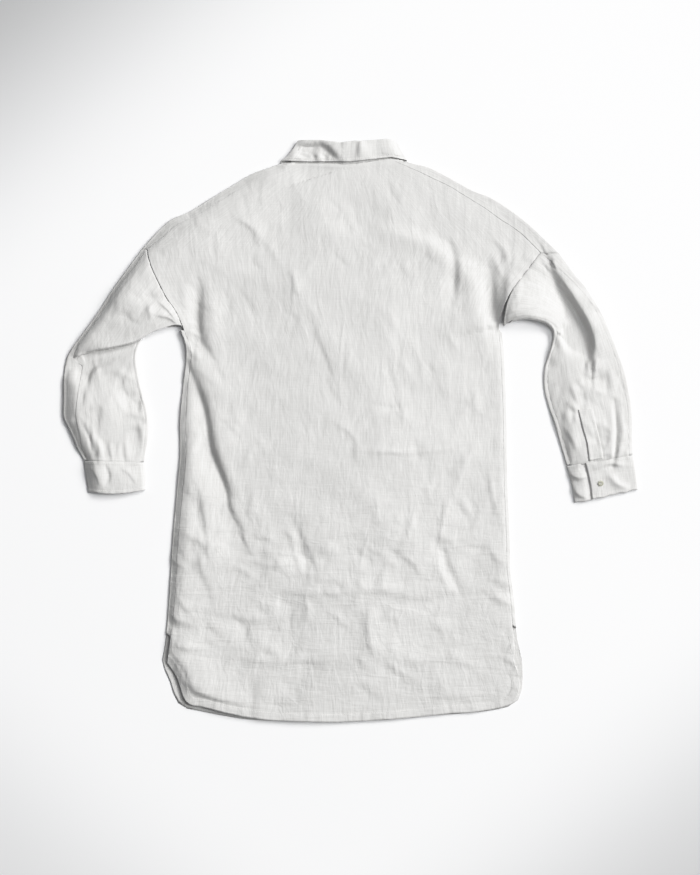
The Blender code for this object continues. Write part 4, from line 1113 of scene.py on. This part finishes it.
COLLAR_UPPER = [(-116, 460), (-100, 470), (-86, 479), (-51, 479), (-16, 474), (7, 477), (15, 476),
                (57, 480.4), (72, 479), (80, 470)]
NECK_ROWS = 26
NECK_ROLL = 1.4
NECK_FLATS = 44
FALL_DEEP = 34.0
ON_SHOULDER = REST + 2 * LAYER + 1.6    # how high the collar's ends lie


def height_of(points, x):
    """y of an outline at x."""
    points = np.array(points, float)
    return np.interp(x, points[:, 0], points[:, 1])


def front_neckline(x):
    """y of the fronts' scooped neckline, under the back."""
    inward = np.clip((107.0 - np.abs(x - CENTRE_FRONT_X)) / (107.0 - BAND_HALF), 0.0, 1.0)
    return 402.0 + 36.0 * (1 - inward) - 14.0 * np.sin(math.pi * inward)


def make_neck_ring(name, node, left_x, right_x, lower, upper, under_lift, top_lift, depth):
    """A band round the neck, pressed flat, its ends meeting at the centre front below. Gives the
    points of its upper side."""
    grid = []
    for share in np.linspace(0.0, 1.0, NECK_ROWS):
        left = left_x[0] * (1 - share) + left_x[1] * share
        right = right_x[0] * (1 - share) + right_x[1] * share
        centre = CENTRE_FRONT_X - left
        ring = section(right - left, NECK_ROLL, centre - 4.0, centre + 4.0, "under", NECK_FLATS)
        w, rise, _ = np.array(ring).T
        x = left + w
        above = lower(x) * (1 - share) + upper(x) * share
        below = front_neckline(x) + 3.6 + depth * share
        y = below + (above - below) * smooth_step(2.4 * rise)
        bottom = REST + under_lift
        top = high(x, np.full(len(x), 430.0)) + top_lift
        edge = min(share, 1 - share) * FALL_DEEP
        ridge = 0.45 * math.exp(-(((edge - 2.5) / 2.0) ** 2))
        ripple = 0.3 * pucker(x, 61) * math.exp(-edge / 6.0)
        top = top + ridge + ripple + crease_sum(x, y, COLLAR_CREASES, False) * rise
        from_end = np.minimum(x - left, right - x)
        top = top - (top - ON_SHOULDER) * np.exp(-((from_end / 11.0) ** 2))
        top = np.maximum(top, bottom + LAYER)
        grid.append(np.column_stack([x, y, bottom + (top - bottom) * rise]))
    grid = np.array(grid)
    if node == "collar_stand":
        grid = tuck_row(grid, "first", drop=1.2, reach=4.0)
    on_top = grid[..., 2] > 0.6 * grid[..., 2].max()
    cloth(name, node, [grid])
    return grid[on_top]


make_neck_ring(
    "collar_stand_band", "collar_stand", (-105.0, -79.0), (85.0, 69.0),
    lambda x: 437.1 + (x + 106.0) / 96.0, lambda x: height_of(COLLAR_UPPER, x) - 3.5,
    LAYER, -2.5, 30.0)
collar_top = make_neck_ring(
    "collar_fall_leaf", "collar_fall", (-116.0, -88.0), (93.0, 79.0),
    lambda x: height_of(COLLAR_LOWER, x), lambda x: height_of(COLLAR_UPPER, x),
    0.0, LAYER + 0.3, 34.0)

# The front band.
# A strip of linen folded double runs down the centre front, over the two front edges. It is hidden
# under the shirt, and the buttons lie under it.
BAND_ROWS = 180
band_y = np.linspace(402.0, -479.5, BAND_ROWS)
band_grid = patch_between(np.column_stack([np.full(BAND_ROWS, CENTRE_FRONT_X - BAND_HALF), band_y]),
                          np.column_stack([np.full(BAND_ROWS, CENTRE_FRONT_X + BAND_HALF), band_y]),
                          np.linspace(0.0, 1.0, 9), low)
cloth("front_placket_band", "front_placket", [band_grid])

# The stitching.
# Topstitching in thread of the shirt's own colour, along the hem, the cuffs, the collar's edge
# and the right sleeve's band. Each stitch is a short dash that sinks in at both ends.
THREAD_LIGHT, THREAD_SHADE = (0.83, 0.825, 0.81), (0.74, 0.735, 0.72)
THREAD = linen_material("linen_thread", THREAD_LIGHT, THREAD_SHADE)
STITCH_PITCH = 3.0
STITCH_LENGTH = 2.3
STITCH_HALF = 0.28
STITCH_LIFT = 0.42
# Rings of a stitch: how far along it, how thick, and how high.
STITCH_RINGS = [(-0.5, 0.5, -0.30), (-0.25, 1.0, 0.05), (0.25, 1.0, 0.05), (0.5, 0.5, -0.30)]


def surface_height(points, x, y):
    """Height of a surface at places of the plan, from the four nearest of its points."""
    heights = []
    for at_x, at_y in zip(x, y):
        away = np.hypot(points[:, 0] - at_x, points[:, 1] - at_y)
        close = np.argpartition(away, 4)[:4]
        share = 1.0 / (away[close] + 0.05)
        heights.append((points[close, 2] * share).sum() / share.sum())
    return np.array(heights)


def stitches(name, path, surface):
    """A row of stitches along a path in plan, on a surface of points."""
    steps = np.linalg.norm(np.diff(np.array(path, float), axis=0), axis=1).sum()
    count = int(steps / STITCH_PITCH)
    places = spaced(path, 2 * count + 1)
    centres, ahead = places[1::2], places[2::2] - places[:-2:2]
    ahead = ahead / np.linalg.norm(ahead, axis=1, keepdims=True)
    side = np.column_stack([-ahead[:, 1], ahead[:, 0]])
    height = surface_height(surface.reshape(-1, 3), centres[:, 0], centres[:, 1]) + STITCH_LIFT
    shape = bmesh.new()
    for centre, along, across_it, z in zip(centres, ahead, side, height):
        rings = []
        for reach, thickness, rise in STITCH_RINGS:
            middle = centre + along * reach * STITCH_LENGTH
            ring = []
            for turn in (0.0, 0.5 * math.pi, math.pi, 1.5 * math.pi):
                plan = middle + across_it * math.cos(turn) * STITCH_HALF * thickness
                up = z + rise + math.sin(turn) * STITCH_HALF * thickness
                ring.append(shape.verts.new((plan[0] * MM, plan[1] * MM, up * MM)))
            rings.append(ring)
        for first, second in zip(rings, rings[1:]):
            for a in range(4):
                b = (a + 1) % 4
                shape.faces.new((first[a], second[a], second[b], first[b]))
        shape.faces.new(rings[0])
        shape.faces.new(rings[-1][::-1])
    linen_piece(name, shape, THREAD)


def offset(path, distance):
    """A path moved to its left by a distance."""
    fine = spaced(path, 60)
    ahead = np.gradient(fine, axis=0)
    ahead = ahead / np.linalg.norm(ahead, axis=1, keepdims=True)
    return fine + np.column_stack([-ahead[:, 1], ahead[:, 0]]) * distance


for name, path, surface in (
        ("hem_stitching", offset(BACK_HEM[3:-2], HEM_DEEP - 1.5), back_grid),
        ("collar_stitching", [(-108, 449), (-84, 447.5), (-34, 447.5), (-1, 446.5), (32, 450.5),
                              (65, 454.5), (86, 451.5)], collar_top),
        ("cuff_right_top_stitching", [(392, -57), (428, -51), (461, -45)], cuff_right_top),
        ("cuff_right_end_stitching", [(399, -109), (436, -102), (469, -95)], cuff_right_top),
        ("cuff_left_top_stitching", [(-435, -54), (-390, -55.5), (-345, -57)], cuff_left_top),
        ("cuff_left_end_stitching", [(-430, -98), (-388, -99.5), (-343, -95)], cuff_left_top),
        ("sleeve_band_stitching_left", [(378, 30), (385, 2), (392, -22), (396, -48)], sleeve_band),
        ("sleeve_band_stitching_right", [(395, 31), (402, 3), (408, -19), (413, -46)], sleeve_band)):
    stitches(name, path, surface)

# The buttons.
# Ten turned mother-of-pearl discs with a raised rim and four holes. Eight lie under the front
# band and one under the left cuff; only the right cuff's shows, and thread crosses its holes.
RIGHT_CUFF_BUTTON = (412.0, -87.0)
FIRST_FRONT_BUTTON_Y = 372.0
FRONT_BUTTON_PITCH = 96.0
FRONT_BUTTONS = 8
BUTTON_RADIUS = 5.0
RIM = 0.9
FACE_SUNK = 0.4
BUTTON_LIFT = 0.6        # from the middle of the cuff's cloth to the button's underside
HOLE_RADIUS, HOLE_OFFSET = 0.62, 1.25
shell = bpy.data.materials.new("shell_button")
shell.use_nodes = True
shell_nodes, shell_links = shell.node_tree.nodes, shell.node_tree.links
shell_shader = shell_nodes["Principled BSDF"]
shell_shader.inputs["Roughness"].default_value = 0.22
shell_shader.inputs["Coat Weight"].default_value = 0.5
shell_place = shell_nodes.new("ShaderNodeTexCoord")
shell_cloud = shell_nodes.new("ShaderNodeTexNoise")
shell_cloud.inputs["Scale"].default_value = 420.0
shell_tones = shell_nodes.new("ShaderNodeValToRGB")
shell_tones.color_ramp.elements[0].color = (0.30, 0.31, 0.24, 1.0)
shell_tones.color_ramp.elements[1].color = (0.58, 0.57, 0.49, 1.0)
shell_links.new(shell_place.outputs["Object"], shell_cloud.inputs["Vector"])
shell_links.new(shell_cloud.outputs["Fac"], shell_tones.inputs["Fac"])
shell_links.new(shell_tones.outputs["Color"], shell_shader.inputs["Base Color"])

bpy.ops.object.select_all(action="DESELECT")
bpy.ops.mesh.primitive_cylinder_add(vertices=36, radius=BUTTON_RADIUS * MM,
                                    depth=BUTTON_THICK * MM, location=(0.0, 0.0, BUTTON_THICK * MM / 2))
disc = bpy.context.object
bpy.ops.object.transform_apply(location=True, rotation=True, scale=True)
for face in disc.data.polygons:
    face.select = face.center.z > 0.9 * BUTTON_THICK * MM
bpy.ops.object.mode_set(mode="EDIT")
bpy.ops.mesh.select_mode(type="FACE")
bpy.ops.mesh.inset(thickness=RIM * MM, depth=0.0)
bpy.ops.mesh.inset(thickness=0.5 * MM, depth=-FACE_SUNK * MM)
bpy.ops.object.mode_set(mode="OBJECT")
for turn in (45, 135, 225, 315):
    hole_x = HOLE_OFFSET * math.cos(math.radians(turn)) * MM
    hole_y = HOLE_OFFSET * math.sin(math.radians(turn)) * MM
    bpy.ops.mesh.primitive_cylinder_add(vertices=12, radius=HOLE_RADIUS * MM, depth=6.0 * MM,
                                        location=(hole_x, hole_y, 0.0))
    drill = bpy.context.object
    bpy.ops.object.select_all(action="DESELECT")
    bpy.context.view_layer.objects.active = disc
    cut = disc.modifiers.new("hole", "BOOLEAN")
    cut.operation = "DIFFERENCE"
    cut.solver = "EXACT"
    cut.object = drill
    bpy.ops.object.modifier_apply(modifier=cut.name)
    bpy.data.objects.remove(drill, do_unlink=True)
disc.data.materials.clear()
disc.data.materials.append(shell)
rounded = disc.modifiers.new("rounded", "BEVEL")
rounded.width = 0.18 * MM
rounded.segments = 2
rounded.limit_method = "ANGLE"
rounded.angle_limit = math.radians(40)
bpy.context.view_layer.objects.active = disc
disc.select_set(True)
bpy.ops.object.modifier_apply(modifier=rounded.name)
bpy.ops.object.shade_smooth_by_angle(angle=math.radians(35))

right_button_bottom = float(high(*RIGHT_CUFF_BUTTON)) + BUTTON_LIFT
places = [("cuff_button_right", *RIGHT_CUFF_BUTTON, right_button_bottom),
          ("cuff_button_left", *LEFT_CUFF_BUTTON, 0.0)]
for index in range(FRONT_BUTTONS):
    button_y = FIRST_FRONT_BUTTON_Y - FRONT_BUTTON_PITCH * index
    places.append((f"front_button_{index + 1}", CENTRE_FRONT_X, button_y, 0.0))
for node, x, y, bottom in places:
    bpy.ops.object.select_all(action="DESELECT")
    bpy.context.view_layer.objects.active = disc
    disc.select_set(True)
    bpy.ops.object.duplicate()
    button = bpy.context.object
    button.name = node + "_disc"
    button.location = (x * MM, y * MM, bottom * MM)
    bpy.ops.object.transform_apply(location=True, rotation=True, scale=True)
    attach(button, "root")
    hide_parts(node)
bpy.data.objects.remove(disc, do_unlink=True)

SEWN_THREAD = 0.30
for index, turn in enumerate((45, 135)):
    bpy.ops.object.select_all(action="DESELECT")
    thread_z = right_button_bottom + BUTTON_THICK - FACE_SUNK + 0.5 * SEWN_THREAD
    bpy.ops.mesh.primitive_cylinder_add(
        vertices=10, radius=SEWN_THREAD * MM, depth=2.3 * HOLE_OFFSET * MM,
        location=(RIGHT_CUFF_BUTTON[0] * MM, RIGHT_CUFF_BUTTON[1] * MM, thread_z * MM),
        rotation=(0.0, math.radians(90), math.radians(turn)))
    sewn = bpy.context.object
    sewn.name = f"cuff_button_thread_{index + 1}"
    bpy.ops.object.transform_apply(location=True, rotation=True, scale=True)
    bpy.ops.object.shade_smooth_by_angle(angle=math.radians(40))
    sewn.data.uv_layers[0].name = "cloth"
    sewn.data.materials.append(THREAD)
    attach(sewn, "root")
bpy.ops.object.select_all(action="DESELECT")
